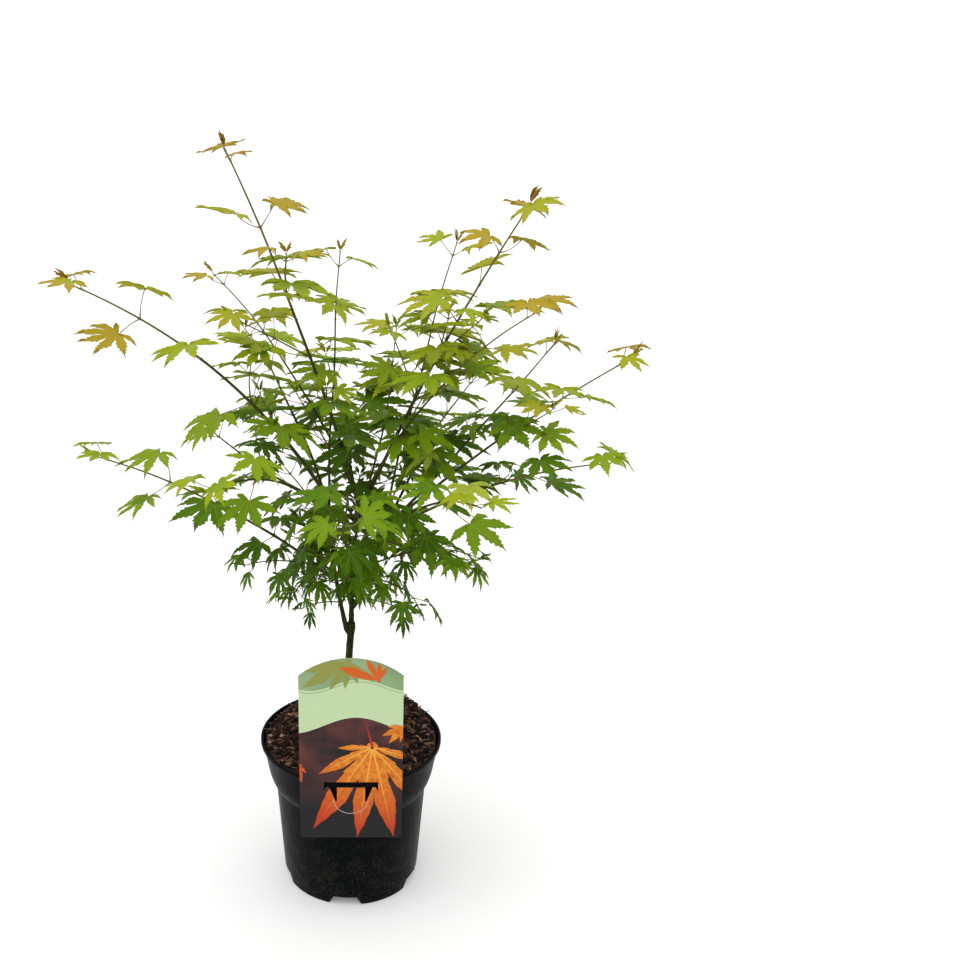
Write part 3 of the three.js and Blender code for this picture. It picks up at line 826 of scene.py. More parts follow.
def card_print():
    """The card: a green head, a pale wavy band with a thin rule, and a dark picture below it."""
    pattern = Pattern("card_print", 0.4, Specular_IOR_Level=0.25)
    height = pattern.axis("Z")
    head_edge, band_edge = wave(pattern, *HEAD_EDGE), wave(pattern, *BAND_EDGE)
    in_head = pattern.maths("GREATER_THAN", height, head_edge)
    in_band = pattern.maths("GREATER_THAN", height, band_edge)
    from_rule = pattern.maths("SUBTRACT", height, pattern.maths("SUBTRACT", head_edge, RULE_DROP))
    on_rule = pattern.maths("LESS_THAN", pattern.maths("ABSOLUTE", from_rule), RULE_HALF)
    clouds = pattern.noise(26.0, 2.0, 0.5)
    glow = pattern.times(pattern.between(clouds, 0.36, 0.62), pattern.between(height, 0.135, 0.205))
    picture = pattern.blend(glow, CARD_DARK, CARD_MAROON)
    band = pattern.blend(on_rule, CARD_PALE, CARD_RULE)
    head = pattern.blend(pattern.between(clouds, 0.35, 0.65), CARD_GREEN, CARD_MIST)
    front = pattern.blend(in_head, pattern.blend(in_band, picture, band), head)
    behind = pattern.maths("GREATER_THAN", pattern.axis("Y"), card_back - 0.15 * MM)
    pattern.colour(pattern.blend(behind, front, CARD_BACK))
    return pattern.paint


def glowing_leaf():
    """Orange leaf print: mottled gold near the big leaf's hub, and red towards its tips."""
    pattern = Pattern("orange_leaf_print", 0.4, Specular_IOR_Level=0.2)
    grain = pattern.noise(160.0, 5.0, 0.65)
    hub = zip("XZ", HANGING_LEAF[0])
    parts = [pattern.maths("SUBTRACT", pattern.axis(letter), place * MM) for letter, place in hub]
    away = pattern.maths("SQRT", pattern.maths("ADD", *(pattern.times(part, part) for part in parts)))
    outer = pattern.between(pattern.maths("ADD", away, pattern.times(grain, 0.03)), 0.045, 0.112)
    warm = pattern.blend(pattern.between(grain, 0.35, 0.65), LEAF_AMBER, LEAF_YOLK)
    pattern.colour(pattern.blend(pattern.times(outer, 0.95), warm, LEAF_SCARLET))
    return pattern.paint


def print_paint(name, colour):
    return plain_paint(name, colour, 0.4, Specular_IOR_Level=0.2)


def lobed_outline(middle, lobes, half_turn):
    """The outline of a printed leaf round its middle; lobes are (turn in degrees, length in mm)."""
    outline = []
    for step in range(720):
        turn = step / 2
        reach = 0
        for heading, length in lobes:
            aside = abs((turn - heading + 180) % 360 - 180) / half_turn
            narrowing = 1 - 0.42 * min(1, aside) ** 0.8 - 0.9 * max(0, aside - 1) ** 0.7
            teeth = 0.045 * abs((aside * 3.2) % 1 - 0.5) if 0.12 < aside < 1 else 0
            palm = 0.36 if aside < 1.5 else 0.05
            reach = max(reach, length * max(palm, narrowing + teeth))
        outline.append(from_middle(middle, turn, reach))
    return outline


def from_middle(middle, turn, along, aside=0):
    """A place on the card in metres: a turn in degrees and distances in mm from a middle."""
    cos, sin = math.cos(math.radians(turn)), math.sin(math.radians(turn))
    return (middle[0] + along * cos - aside * sin) * MM, (middle[1] + along * sin + aside * cos) * MM


def rib_outline(middle, turn, length, wide):
    """A rib or stalk: a thin spike that ends in a point."""
    return [from_middle(middle, turn, *corner) for corner in ((0, -wide), (length, 0), (0, wide))]


# Each printed leaf's middle, and the (turn, length) of its lobes.
HANGING_LEAF = (
    (21, 205),
    ((-178, 34), (-150, 62), (-122, 112), (-98, 106), (-78, 107), (-52, 84), (-18, 46)),
)
ORANGE_HEAD_LEAF = ((27, 279), ((62, 17), (88, 20), (118, 26), (160, 42)))
OLIVE_HEAD_LEAF = (
    (-2, 299),
    ((150, 12), (192, 50), (212, 54), (238, 36), (262, 30), (290, 26), (318, 34)),
)
SIDE_LEAF = ((52, 228), ((180, 16), (206, 24), (232, 24), (258, 18)))
LOW_SIDE_LEAF = ((-53, 186), ((-20, 6), (-52, 14), (-80, 22), (-110, 8)))
STALK = (103, 32, 1.4)
SCORE_LEVEL = 143.5 * MM
SCORE_REACH, SCORE_DROP, SCORE_HALF = 17 * MM, 15 * MM, 0.35 * MM


def printed(name, outlines, depth, paint, room):
    """Thin printed shapes, trimmed by the card's outline and its slot."""
    plates = []
    for outline in outlines:
        plate = upright_plate("plate", outline, card_front - depth, card_front + ART_SUNK, paint)
        plates.append(cut_with(plate, add_object("trim", room.data.copy()), "INTERSECT"))
    return joined_mesh(plates, name)


def slot_score():
    """The outline of the scored arc below the slot's legs, a hair's breadth wide."""
    arc = [math.pi * (1 + i / 16) for i in range(17)]

    def half_ring(side):
        wide, deep = SCORE_REACH + side * SCORE_HALF, SCORE_DROP + side * SCORE_HALF
        return [(wide * math.cos(turn), SCORE_LEVEL + deep * math.sin(turn)) for turn in arc]

    return half_ring(1) + half_ring(-1)[::-1]


def make_card():
    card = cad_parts["hanging_card"]
    for place in card.material_slots:
        place.material = card_print()
    room = add_object("card_room", card.data.copy())
    mend_normals(room)
    for corner in room.data.vertices:
        corner.co.y -= ROOM_FORWARD
    middle, lobes = HANGING_LEAF
    leaves = [lobed_outline(middle, lobes, 9.5)]
    leaves += [lobed_outline(*leaf, 13) for leaf in (SIDE_LEAF, LOW_SIDE_LEAF)]
    ribs = [rib_outline(middle, turn, length * 0.86, 0.7) for turn, length in lobes]
    # Each print's name, its outlines, how far it stands proud in ART_PROUD, and its paint.
    art = (
        ("card_orange_leaves", leaves, 1, glowing_leaf()),
        ("card_leaf_ribs", ribs, 1.5, print_paint("golden_rib_print", (0.85, 0.42, 0.07))),
        ("card_olive_leaf", [lobed_outline(*OLIVE_HEAD_LEAF, 11)], 0.7,
         print_paint("olive_leaf_print", (0.26, 0.28, 0.065))),
        ("card_head_leaf", [lobed_outline(*ORANGE_HEAD_LEAF, 12)], 1,
         print_paint("head_leaf_print", (0.60, 0.11, 0.009))),
        ("card_leaf_stalk", [rib_outline(middle, *STALK)], 1.2,
         print_paint("red_stalk_print", (0.42, 0.014, 0.022))),
        ("card_slot_score", [slot_score()], 1.8, print_paint("pale_score", (0.42, 0.36, 0.30))),
    )
    for name, outlines, proud, paint in art:
        piece = printed(name, outlines, proud * ART_PROUD, paint, room)
        shade(piece, False)
        finish_piece(piece)
    bpy.data.objects.remove(room)


# ------------------------------------------------------------------ trunk and main boughs

TRUNK_FOOT = 4.4 * MM
TRUNK_TOP = 3.5 * MM
FLARE = 3.2 * MM
FLARE_HEIGHT = 0.011
FORK_SWELL = 0.9 * MM
LIMB_STEPS = 40
BOUGH_RADII = {"bough_centre": (3.1, 1.35), "bough_left": (2.8, 1.3), "bough_right": (2.5, 1.2)}
BOUGH_REACH = 1.4
BARK_VOXEL = 0.55 * MM
BARK_RELIEF = 0.22 * MM
SUNK_FOOT = 6 * MM
SCARS = (0.34, 0.57, 0.79)
SCAR_RISE = 0.35 * MM
BOUGH_SUNK = (0.016, 0.008)
# The root flare's ribs: the turn of each, and its reach in mm.
ROOT_RIBS = ((0.5, 11), (1.9, 9), (3.0, 12), (4.1, 9), (5.3, 10))


def trunk_tube():
    """The trunk's line of (place, radius), from a start sunk in the mix up to its swollen fork."""
    line = []
    for i in range(LIMB_STEPS + 1):
        share = i / LIMB_STEPS
        place = trunk_line.at(share)
        above = place.z - trunk_line.start.z
        radius = TRUNK_FOOT + (TRUNK_TOP - TRUNK_FOOT) * share
        radius += FLARE * math.exp(-above / FLARE_HEIGHT)
        radius += FORK_SWELL * math.exp(-(((share - 0.95) / 0.05) ** 2))
        radius += SCAR_RISE * sum(math.exp(-(((share - scar) / 0.012) ** 2)) for scar in SCARS)
        line.append((place, radius))
    return [(line[0][0] - UP * SUNK_FOOT, line[0][1] * 1.15), *line]


def bough_tube(name):
    """A bough, from a sunk and rounded start inside the limb that it leaves."""
    root, end = BOUGH_RADII[name]
    parent = limb_lines["bough_centre"] if name == "bough_right" else trunk_line
    start = limb_lines[name].start
    away = [(place - start).length for place in parent.places(60)]
    nearest = away.index(min(away)) / 60
    sunk = [parent.at(nearest - back / parent.length()) for back in BOUGH_SUNK]
    line = [(sunk[0], 0.5 * MM), (sunk[1], 0.62 * root * MM)]
    line.append((sunk[1].lerp(start, 0.6), 0.85 * root * MM))
    for i in range(LIMB_STEPS + 1):
        share = BOUGH_REACH * i / LIMB_STEPS
        radius = (root + (end - root) * (i / LIMB_STEPS) ** 0.6) * MM
        radius *= 1 + 0.12 * math.exp(-((((share * 5) % 1 - 0.5) / 0.09) ** 2))
        line.append((limb_lines[name].at(share), radius))
    return line


def root_ribs():
    """Short tapering ribs of the root flare, running out under the mix."""
    ribs = []
    for turn, reach in ROOT_RIBS:
        out = Vector((math.cos(turn), math.sin(turn), 0)) * reach * MM
        low = trunk_line.start + out - UP * 5 * MM
        middle = trunk_line.start + out * 0.45 + UP * 1.5 * MM
        ribs.append([(trunk_line.at(0.07), 3.4 * MM), (middle, 2.5 * MM), (low, 1.4 * MM)])
    return ribs


def bark_relief(piece):
    """Fine upright ridges and low knobs, raised along the bark's own normals."""
    mesh = piece.data
    count = len(mesh.vertices)
    places, normals = np.empty(count * 3), np.empty(count * 3)
    mesh.vertices.foreach_get("co", places)
    mesh.vertices.foreach_get("normal", normals)
    raised = []
    for x, y, z in places.reshape(-1, 3):
        ridge = noise.fractal(Vector((x * 620, y * 620, z * 70)), 0.7, 2.1, 3)
        raised.append(BARK_RELIEF * (0.7 * ridge + 0.5 * noise.noise(Vector((x, y, z)) * 160)))
    mesh.vertices.foreach_set("co", places + normals * np.repeat(raised, 3))
    mesh.update()


def make_limbs():
    lines = [trunk_tube(), *(bough_tube(name) for name in LIMBS), *root_ribs()]
    rough = tubes("bark_lines", lines, 20, None)
    remesh = rough.modifiers.new("skin", "REMESH")
    remesh.mode = "VOXEL"
    remesh.voxel_size = BARK_VOXEL
    rough.modifiers.new("smooth", "SMOOTH").iterations = 6
    piece = baked_mesh(rough, "bark_limbs")
    bark_relief(piece)
    piece.data.materials.clear()
    piece.data.materials.append(young_bark())
    shade(piece, True)
    finish_piece(piece, ["trunk", *LIMBS])


# ------------------------------------------------------------------ the shape of one leaf


class LeafPlan:
    """A leaf laid flat: its points, and three-cornered faces that know their part of the leaf.

    Its stalk joins at the origin, its middle lobe runs along +Y for a length of 1, and its upper
    face looks along +Z. An upper and a lower sheet share the outline, so the leaf is closed.
    """

    BLADE, LOBE, TIP, VEIN, BELOW = range(5)
    RIB = (0.07, 0.22, 0.38, 0.54, 0.70, 0.85)
    EDGE = ((0.46, 0.82), (0.55, 1.08), (0.575, 0.76), (0.655, 0.93), (0.685, 0.52), (0.755, 0.66),
            (0.785, 0.32), (0.84, 0.38), (0.87, 0.14))
    LOW_RIB = (0.38, 0.70)
    BAY = 0.42
    VEIN_WIDTH = 0.011
    VEIN_OFFSET = 0.05
    BASE_TURN = 18
    BASE_REACH = 0.13

    def __init__(self, lobes, breadth, sinus):
        self.lobes, self.breadth = sorted(lobes), breadth
        self.rows, self.faces, self.kinds = [], [], []
        hub = self.point(0, 0, 0, 0)
        count = len(self.lobes)
        bays = [self.bay(i, sinus) for i in range(count + 1)]
        ribs = [self.add_lobe(i, hub, bays[i], bays[i + 1]) for i in range(count)]
        for (_, left), (right, _), bay in zip(ribs, ribs[1:], bays[1:]):
            self.face(self.BLADE, hub, right, left)
            self.face(self.BLADE, left, right, bay)
        self.face(self.BLADE, hub, ribs[0][0], bays[0])
        self.face(self.BLADE, hub, bays[-1], ribs[-1][1])
        rows = np.array(self.rows)
        self.flat, self.shares, self.offsets = rows[:, :2], rows[:, 2], rows[:, 3]
        self.lobe_of, self.below = rows[:, 4].astype(int), rows[:, 5]
        self.faces, self.kinds = np.array(self.faces), np.array(self.kinds)

    def place(self, turn, along, across, *facts):
        """A point at distances along and across a heading; facts: share, offset, lobe, below."""
        sin, cos = math.sin(math.radians(turn)), math.cos(math.radians(turn))
        self.rows.append((across * cos - along * sin, along * cos + across * sin, *facts))
        return len(self.rows) - 1

    def point(self, lobe, share, side, offset, below=0.0):
        """A point of a lobe: its share of the lobe's length, and its distance to one side."""
        turn, length = self.lobes[lobe]
        return self.place(turn, share * length, side * length, share, offset, lobe, below)

    def bay(self, index, sinus):
        """The point where two lobes part, or where an outer lobe's edge meets the leaf's base."""
        turns, lengths = zip(*self.lobes[max(0, index - 1) : index + 1])
        turn, reach = sum(turns) / len(turns), sinus * sum(lengths) / len(lengths)
        if len(turns) == 1:
            turn += self.BASE_TURN if index else -self.BASE_TURN
            reach = self.BASE_REACH * lengths[0]
        return self.place(turn, reach, 0.0, sinus, 1.0, min(index, len(self.lobes) - 1), 0.0)

    def face(self, kind, a, b, c):
        self.faces.append((a, b, c))
        self.kinds.append(kind)

    def zip_rows(self, rib, edge, side, below=False):
        """Fills between a rib's points and an edge's points, both rows of (share, point)."""
        i = j = 0
        while i < len(rib) - 1 or j < len(edge) - 1:
            step_rib = j == len(edge) - 1 or (i < len(rib) - 1 and rib[i + 1][0] <= edge[j + 1][0])
            ahead = rib[i + 1] if step_rib else edge[j + 1]
            share = (ahead[0] + edge[j][0]) / 2
            corners = (rib[i][1], ahead[1], edge[j][1])
            if (side > 0) != below:
                corners = corners[::-1]
            kind = self.BLADE if share < 0.5 else self.LOBE if share < 0.78 else self.TIP
            self.face(self.BELOW if below else kind, *corners)
            i, j = i + step_rib, j + (not step_rib)

    def rib(self, lobe, side):
        """One side of a lobe's raised vein, as a row of (share, point)."""
        row = []
        for share in self.RIB:
            wide = side * self.VEIN_WIDTH * (1.15 - share)
            row.append((share, self.point(lobe, share, wide, self.VEIN_OFFSET)))
        return row

    def add_lobe(self, lobe, hub, right_bay, left_bay):
        """Adds a lobe, and gives the first points of its vein's two sides."""
        tip = self.point(lobe, 1.0, 0, 0)
        right, left = self.rib(lobe, 1), self.rib(lobe, -1)
        for (_, a), (_, b), (_, c), (_, d) in zip(right, right[1:], left, left[1:]):
            self.face(self.VEIN, a, b, d)
            self.face(self.VEIN, a, d, c)
        self.face(self.VEIN, right[-1][1], tip, left[-1][1])
        self.face(self.VEIN, hub, right[0][1], left[0][1])
        low = [(0, hub)] + [(share, self.point(lobe, share, 0, 0, 1.0)) for share in self.LOW_RIB]
        for side, rib, bay in ((1, right, right_bay), (-1, left, left_bay)):
            edge = [(self.BAY, bay)]
            for share, wide in self.EDGE:
                edge.append((share, self.point(lobe, share, side * wide * self.breadth, 1.0)))
            edge.append((1.0, tip))
            self.zip_rows(rib, edge, side)
            self.zip_rows([*low, (1.0, tip)], edge, side, below=True)
        return right[0][1], left[0][1]


def mirrored(*halves):
    """Lobes given once as (turn, length), and repeated on the other side of the middle lobe."""
    return [(0, 1.0)] + [(side * turn, length) for turn, length in halves for side in (1, -1)]


PLANS = {
    "broad": LeafPlan(mirrored((40, 0.95), (82, 0.76), (126, 0.40)), 0.168, 0.36),
    "full": LeafPlan(mirrored((37, 0.97), (76, 0.82), (116, 0.50)), 0.150, 0.34),
    "five": LeafPlan(mirrored((45, 0.93), (94, 0.64)), 0.175, 0.38),
    "slim": LeafPlan(mirrored((35, 0.92), (71, 0.74), (112, 0.42)), 0.122, 0.30),
    "young": LeafPlan(mirrored((30, 0.85), (62, 0.52)), 0.12, 0.26),
}
LEAF_THICK = 0.35 * MM
VEIN_PROUD = 0.12 * MM
LEAF_GLOSS = 0.1


def shape_leaf(plan, size, rng, droop, close, fold=0.3):
    """A leaf's points in its own frame, drooped towards its tips and folded along its ribs."""

    def by_lobe(low, high):
        return np.array([rng.uniform(low, high) for _ in plan.lobes])[plan.lobe_of]

    x, y = plan.flat[:, 0], plan.flat[:, 1]
    stretch, swing, hang = by_lobe(0.88, 1.08), np.radians(by_lobe(-4, 4)), by_lobe(-0.1, 0.42)
    outer = np.clip((plan.shares - 0.45) / 0.55, 0, 1)
    reach = np.hypot(x, y) * (1 + (stretch - 1) * outer)
    turn = np.arctan2(x, y) * close + swing * outer
    waves = 0.012 * np.sin(13 * x + rng.uniform(0, TAU)) * np.sin(15 * y + rng.uniform(0, TAU))
    aside = plan.offsets * (0.4 + 0.6 * (1 - outer)) * plan.breadth
    lift = fold * aside - droop * reach**2 - hang * outer**2 * 0.35 + waves * plan.offsets
    lift += 0.03 * np.sin(19 * reach + rng.uniform(0, TAU)) * outer * plan.offsets
    points = np.stack([reach * np.sin(turn), reach * np.cos(turn), lift], 1) * size
    points[:, 2] -= LEAF_THICK * plan.below
    points[:, 2] += VEIN_PROUD * (plan.offsets == plan.VEIN_OFFSET)
    return points


# ------------------------------------------------------------------ how the plant grows

# Leaf tints, from the darkest, which are partly painted shade for the inside of the crown, to the
# newest growth.
TINTS = {
    "leaf_deep": (0.034, 0.090, 0.0015),
    "leaf_dark": (0.058, 0.138, 0.002),
    "leaf_green": (0.096, 0.200, 0.003),
    "leaf_fresh": (0.160, 0.272, 0.004),
    "leaf_bright": (0.235, 0.340, 0.005),
    "leaf_lime": (0.315, 0.380, 0.006),
    "leaf_yellow": (0.370, 0.375, 0.010),
    "leaf_gold": (0.420, 0.310, 0.016),
    "leaf_bronze": (0.350, 0.165, 0.022),
    "leaf_rust": (0.210, 0.055, 0.016),
}
# A painted glow of light: a bright leaf colour that stands in for light shining through a leaf.
LEAF_PAINTED_LIGHT = (0.50, 0.60, 0.065)
VEIN_SHARE, VEIN_PALE = 0.62, (0.115, 0.145, 0.020)
BELOW_SHARE, BELOW_PALE = 0.80, (0.040, 0.046, 0.007)
TINT_LUCK = 1.9
TINT_NAMES = list(TINTS)
NEWEST = len(TINTS) - 1
# Distances back from a shoot's tip, in metres.
TIP_GAP = 0.014
TIP_BACK = 0.012
PAIR_GAP = 0.060
CLOSE_PAIR_GAP = 0.040
LOW_PAIR_GAP = 0.038
TWIG_GAPS = (0.012, 0.038, 0.042)
TWIG_CHANCE = 0.42
# A leaf's size by how far from the shoot's tip it grows, and its droop in degrees and how far its
# lobes close up, by its height.
GROWTH = ((0.0, 0.014, 0.070, 0.12, 0.2), (0.60, 0.66, 0.84, 0.96, 1.0))
TWIG_GROWTH = ((0.0, 0.015, 0.05), (0.62, 0.72, 0.92))
HANG = ((0.30, 0.36, 0.41, 0.46, 0.54, 0.66, 0.78), (58, 46, 30, 16, 6, 1, -3))
CLOSING = ((0.38, 0.5), (0.8, 1))
# How new and how lit a leaf looks by its height in the crown, and the parts that height, its place
# along the
# shoot and its distance outwards play: low and inner leaves are darker, partly older growth and
# partly painted shade.
TONE = ((0, 0.3, 0.5, 1), (0.02, 0.21, 0.52, 1))
TONE_START, TONE_HEIGHT, TONE_ALONG, TONE_OUT = 0.02, 0.67, 0.16, 0.36
LEAF_NEWEST = 0.73
BARE_ROOT = 0.045
BARE_TWIG = 0.014
CROWN_FOOT = 0.32
CROWN_TOP = 0.77
CROWN_REACH = 0.27
SHOOT_STEPS = 26
KNOT_HALF = 0.002
YOUNG_PART = 0.55
YOUNG_LEAF = 0.026
STALK_SWELL = (1.7, 1.05, 0.9, 0.9, 1.0, 1.25)
# The leaf size in metres and the shoot's thickness in mm, for names that hold a word; the last of
# the words that fits counts.
HABITS = {
    "spray": (0.050, 1.8),
    "skirt": (0.038, 1.0),
    "thin": (0.045, 1.4),
    "tall": (0.045, 1.4),
    "inner": (0.045, 1.4),
    "skirt_low": (0.029, 0.8),
}
LONG = ("spray_leader", "spray_left_high", "spray_right_leader")
LONG_THICK = 2.2
SPARSE = (
    "spray_right_mid", "spray_right_low", "spray_right_high", "spray_left_low", "spray_left_mid",
)
SPARSE_SIZE = 0.045
# The pair of leaves, by its place on the shoot, where one leaf gets a painted glow of light.
PAINTED_LIGHT_LEAVES = {"spray_right_low": 2, "spray_right_high": 3}
HEART_TWIGS, HEART_FIRST, HEART_STEP = 9, 0.26, 0.135
HEART_LOW = 0.65


def any_level(rng):
    angle = rng.uniform(0, TAU)
    return Vector((math.cos(angle), math.sin(angle), 0))


def side_of(heading, rng):
    """A level direction across a shoot; any level direction if the shoot is upright."""
    side = heading.cross(UP)
    if side.length < 0.25:
        side = any_level(rng)
        side -= heading * side.dot(heading)
    return side.normalized()


class Plant:
    """Everything that the growing rule makes: lines of twigs and leaf stalks, and leaves."""

    def __init__(self):
        self.twigs = {"twig_old": [], "twig_young": []}
        self.stalks = {"stalk_green": [], "stalk_red": []}
        self.leaves = {"left": [], "middle": [], "right": []}

    def tone(self, place, along):
        """How new and how lit a leaf looks, from 0 inside the low crown to 1 at the topmost tips:
        partly age, partly painted shade.
        """
        height = (place.z - CROWN_FOOT) / (CROWN_TOP - CROWN_FOOT)
        outward = max(0, math.hypot(place.x, place.y) / CROWN_REACH - 0.5)
        along *= min(1, max(0, 0.2 + 1.4 * height))
        # Higher and outer leaves take newer, lighter tints: partly real growth, partly painted light
        # and shade.
        newer = TONE_HEIGHT * np.interp(height, *TONE)
        return TONE_START + newer + TONE_ALONG * along + TONE_OUT * outward

    def leaf(self, group, rng, foot, away, size, tone, low=False, glow=False):
        """A leaf on its own stalk: it leaves the shoot towards `away`, and levels out."""
        tone = min(tone, LEAF_NEWEST)
        level = Vector((away.x, away.y, 0))
        level = any_level(rng) if level.length < 0.2 else level.normalized()
        reach = size * rng.uniform(0.42, 0.75)
        lift = rng.uniform(0.25, 1.0) if away.z > -0.2 else rng.uniform(-0.35, 0.1)
        if low:
            lift = rng.uniform(-0.2, 0.15)
        end = foot + (away * 0.55 + level * 0.6 + UP * lift).normalized() * reach
        line = BowedLine(foot, foot + away * reach * 0.5 + UP * reach * 0.06, end)
        thick = (0.32 + 4.2 * size) * MM
        kind = "stalk_red" if rng.random() < 0.25 + 0.5 * tone else "stalk_green"
        stalk = [(line.at(i / 5), thick * wide) for i, wide in enumerate(STALK_SWELL)]
        self.stalks[kind].append(stalk)

        pitch = math.radians(np.interp(end.z, *HANG) + rng.gauss(0, 8))
        heading = Matrix.Rotation(rng.gauss(0, 0.22), 3, "Z") @ level
        forward = heading * math.cos(pitch) - UP * math.sin(pitch)
        roll = Matrix.Rotation(math.radians(rng.gauss(0, 12)), 3, forward)
        across = roll @ forward.cross(UP).normalized()
        if size < YOUNG_LEAF:
            plan = "young"
        elif low:
            plan = rng.choice(("slim", "slim", "full"))
        else:
            plan = rng.choice(("broad", "broad", "full", "five", "full"))
        if low:
            close, droop = rng.uniform(0.62, 0.85), rng.uniform(0.12, 0.3)
        else:
            close = rng.uniform(0.92, 1.06) * np.interp(end.z, *CLOSING)
            droop = rng.uniform(-0.04, 0.16)
        points = shape_leaf(PLANS[plan], size, rng, droop, close)
        points = points @ np.array([across, forward, across.cross(forward)]) + np.array(end)
        # glow marks a leaf that gets the painted glow of light.
        self.leaves[group].append((plan, points, tone, glow, rng.random()))

    def bud(self, group, rng, tip, heading, size, tone):
        """The newest leaves at a shoot's end: one or two still folded, standing up."""
        count = 2 if rng.random() < 0.75 else 1
        side = side_of(heading, rng)
        for index in range(count):
            forward = (side * (0.45 if index else -0.3) + heading * 0.7 + UP * 0.5).normalized()
            across = forward.cross(UP)
            across = across.normalized() if across.length > 0.05 else side
            folded = rng.uniform(0.16, 0.34)
            points = shape_leaf(PLANS["young"], size * rng.uniform(0.8, 1.15), rng, 0.05, folded, 0.9)
            foot = tip + forward * 2.5 * MM
            points = points @ np.array([across, forward, across.cross(forward)]) + np.array(foot)
            self.stalks["stalk_red"].append([(tip - heading * MM, 0.5 * MM), (foot, 0.42 * MM)])
            self.leaves[group].append(("young", points, tone + 0.04, False, 0.5))

    def add_twig(self, points, cut, green):
        """Adds a shoot's wood, old up to a cut and young beyond; points: (share, place, radius)."""
        old = [point[1:] for point in points if point[0] <= cut + 0.03]
        young = [point[1:] for point in points if point[0] >= cut - 0.01]
        if not green or len(young) < 2:
            old, young = [point[1:] for point in points], []
        for kind, line in (("twig_young", young), ("twig_old", old)):
            if len(line) > 1:
                self.twigs[kind].append(line)

    def shoot(self, group, rng, line, radii, leaf_size, depth=0, low=False, painted_light_pair=0,
              twiggy=TWIG_CHANCE, pair_gap=PAIR_GAP):
        """A shoot along a line, with crossed pairs of leaves, and side twigs from its lower part."""
        length = line.length()
        shake = Vector((rng.uniform(-1, 1), rng.uniform(-1, 1), 0)) * 0.012 * length
        tone_tip = self.tone(line.at(1), 1)

        def at(share):
            return line.at(share) + shake * math.sin(share * 9) * share * (1 - share) * 2

        def thick(share):
            return radii[0] + (radii[1] - radii[0]) * share**0.8

        pairs, back = [], 0.0
        for gap in TWIG_GAPS if depth else (TIP_GAP, *[pair_gap] * 12):
            back += gap * rng.uniform(0.85, 1.15)
            if back > length - (BARE_TWIG if depth or low else BARE_ROOT):
                break
            pairs.append(1 - back / length)
        points = [(i / SHOOT_STEPS, thick(i / SHOOT_STEPS)) for i in range(SHOOT_STEPS + 1)]
        knot = KNOT_HALF / length
        for share in pairs:
            for place, wide in ((share - knot, 1.08), (share, 1.45), (share + knot, 1.02)):
                points.append((place, thick(share) * wide))
        points = [(share, at(share), radius) for share, radius in sorted(points)]
        self.add_twig(points, 0.0 if depth else YOUNG_PART, depth > 0 or tone_tip > 0.5)

        turn = rng.uniform(0, 1)
        for index, share in enumerate(pairs):
            heading = line.heading(share)
            side = side_of(heading, rng)
            above = side.cross(heading).normalized()
            if above.z < 0:
                above = -above
            steep = abs(heading.z)
            crossing = (index % 2) * (0.9 + 0.5 * steep) + 0.35 * turn + rng.gauss(0, 0.15)
            growth = np.interp((1 - share) * length, *(TWIG_GROWTH if depth or low else GROWTH))
            size = leaf_size * growth * rng.uniform(0.86, 1.12)
            for way in (1, -1):
                if rng.random() < 0.05 and index > 1:
                    continue
                spread = (side * math.cos(crossing) + above * math.sin(crossing)) * way
                if spread.z < -0.55 and steep < 0.7:
                    spread = (spread + side * way * 0.5).normalized()
                away = (spread * 0.85 + heading * (0.35 + 0.5 * (1 - growth))).normalized()
                foot = at(share) + away * 0.8 * MM
                tone = self.tone(foot, share)
                # One leaf of the chosen pair gets the painted glow of light.
                glow = painted_light_pair > 0 and index == painted_light_pair and way == 1
                self.leaf(group, rng, foot, away, size * rng.uniform(0.9, 1.1), tone, low, glow)
                if depth == 0 and not low and share < 0.62 and rng.random() < twiggy:
                    reach = rng.uniform(0.035, 0.085)
                    out = (spread * 0.75 + heading * 0.65 + UP * 0.15).normalized() * reach
                    pull = at(share) + out * 0.5 - UP * 0.004 + heading * 0.006
                    twig = BowedLine(at(share), pull, at(share) + out)
                    self.shoot(group, rng, twig, (0.95 * MM, 0.5 * MM), leaf_size * 0.85, depth=1)
        self.bud(group, rng, at(1), line.heading(1), leaf_size * 0.36, tone_tip)


def group_of(node):
    low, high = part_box(node)
    middle = (low[0] + high[0]) / 2
    return "left" if middle < -0.04 else "right" if middle > 0.05 else "middle"


def grow_sprays(plant):
    """Grows every spray and skirt along its solid's stalk, from its root on a limb."""
    for name, (bough, share) in ROOTS.items():
        line = shoot_line(name, limb_lines[bough].at(share))
        low = name.startswith("skirt")
        line.end = line.end - line.heading(1) * (0.2 * line.length() if low else TIP_BACK)
        size, thick = [habit for word, habit in HABITS.items() if word in name][-1]
        if name in LONG:
            thick = LONG_THICK
        twiggy = TWIG_CHANCE
        if "front" in name or name in SPARSE:
            size, twiggy = min(size, SPARSE_SIZE), 0.5 * TWIG_CHANCE
        pair_gap = LOW_PAIR_GAP if low else PAIR_GAP
        if name == "spray_right_leader":
            pair_gap = CLOSE_PAIR_GAP
        habit = {"low": low, "painted_light_pair": PAINTED_LIGHT_LEAVES.get(name, 0), "twiggy": twiggy, "pair_gap": pair_gap}
        radii = (thick * MM, (0.35 + 0.15 * thick) * MM)
        plant.shoot(group_of(name), random.Random(name), line, radii, size, **habit)


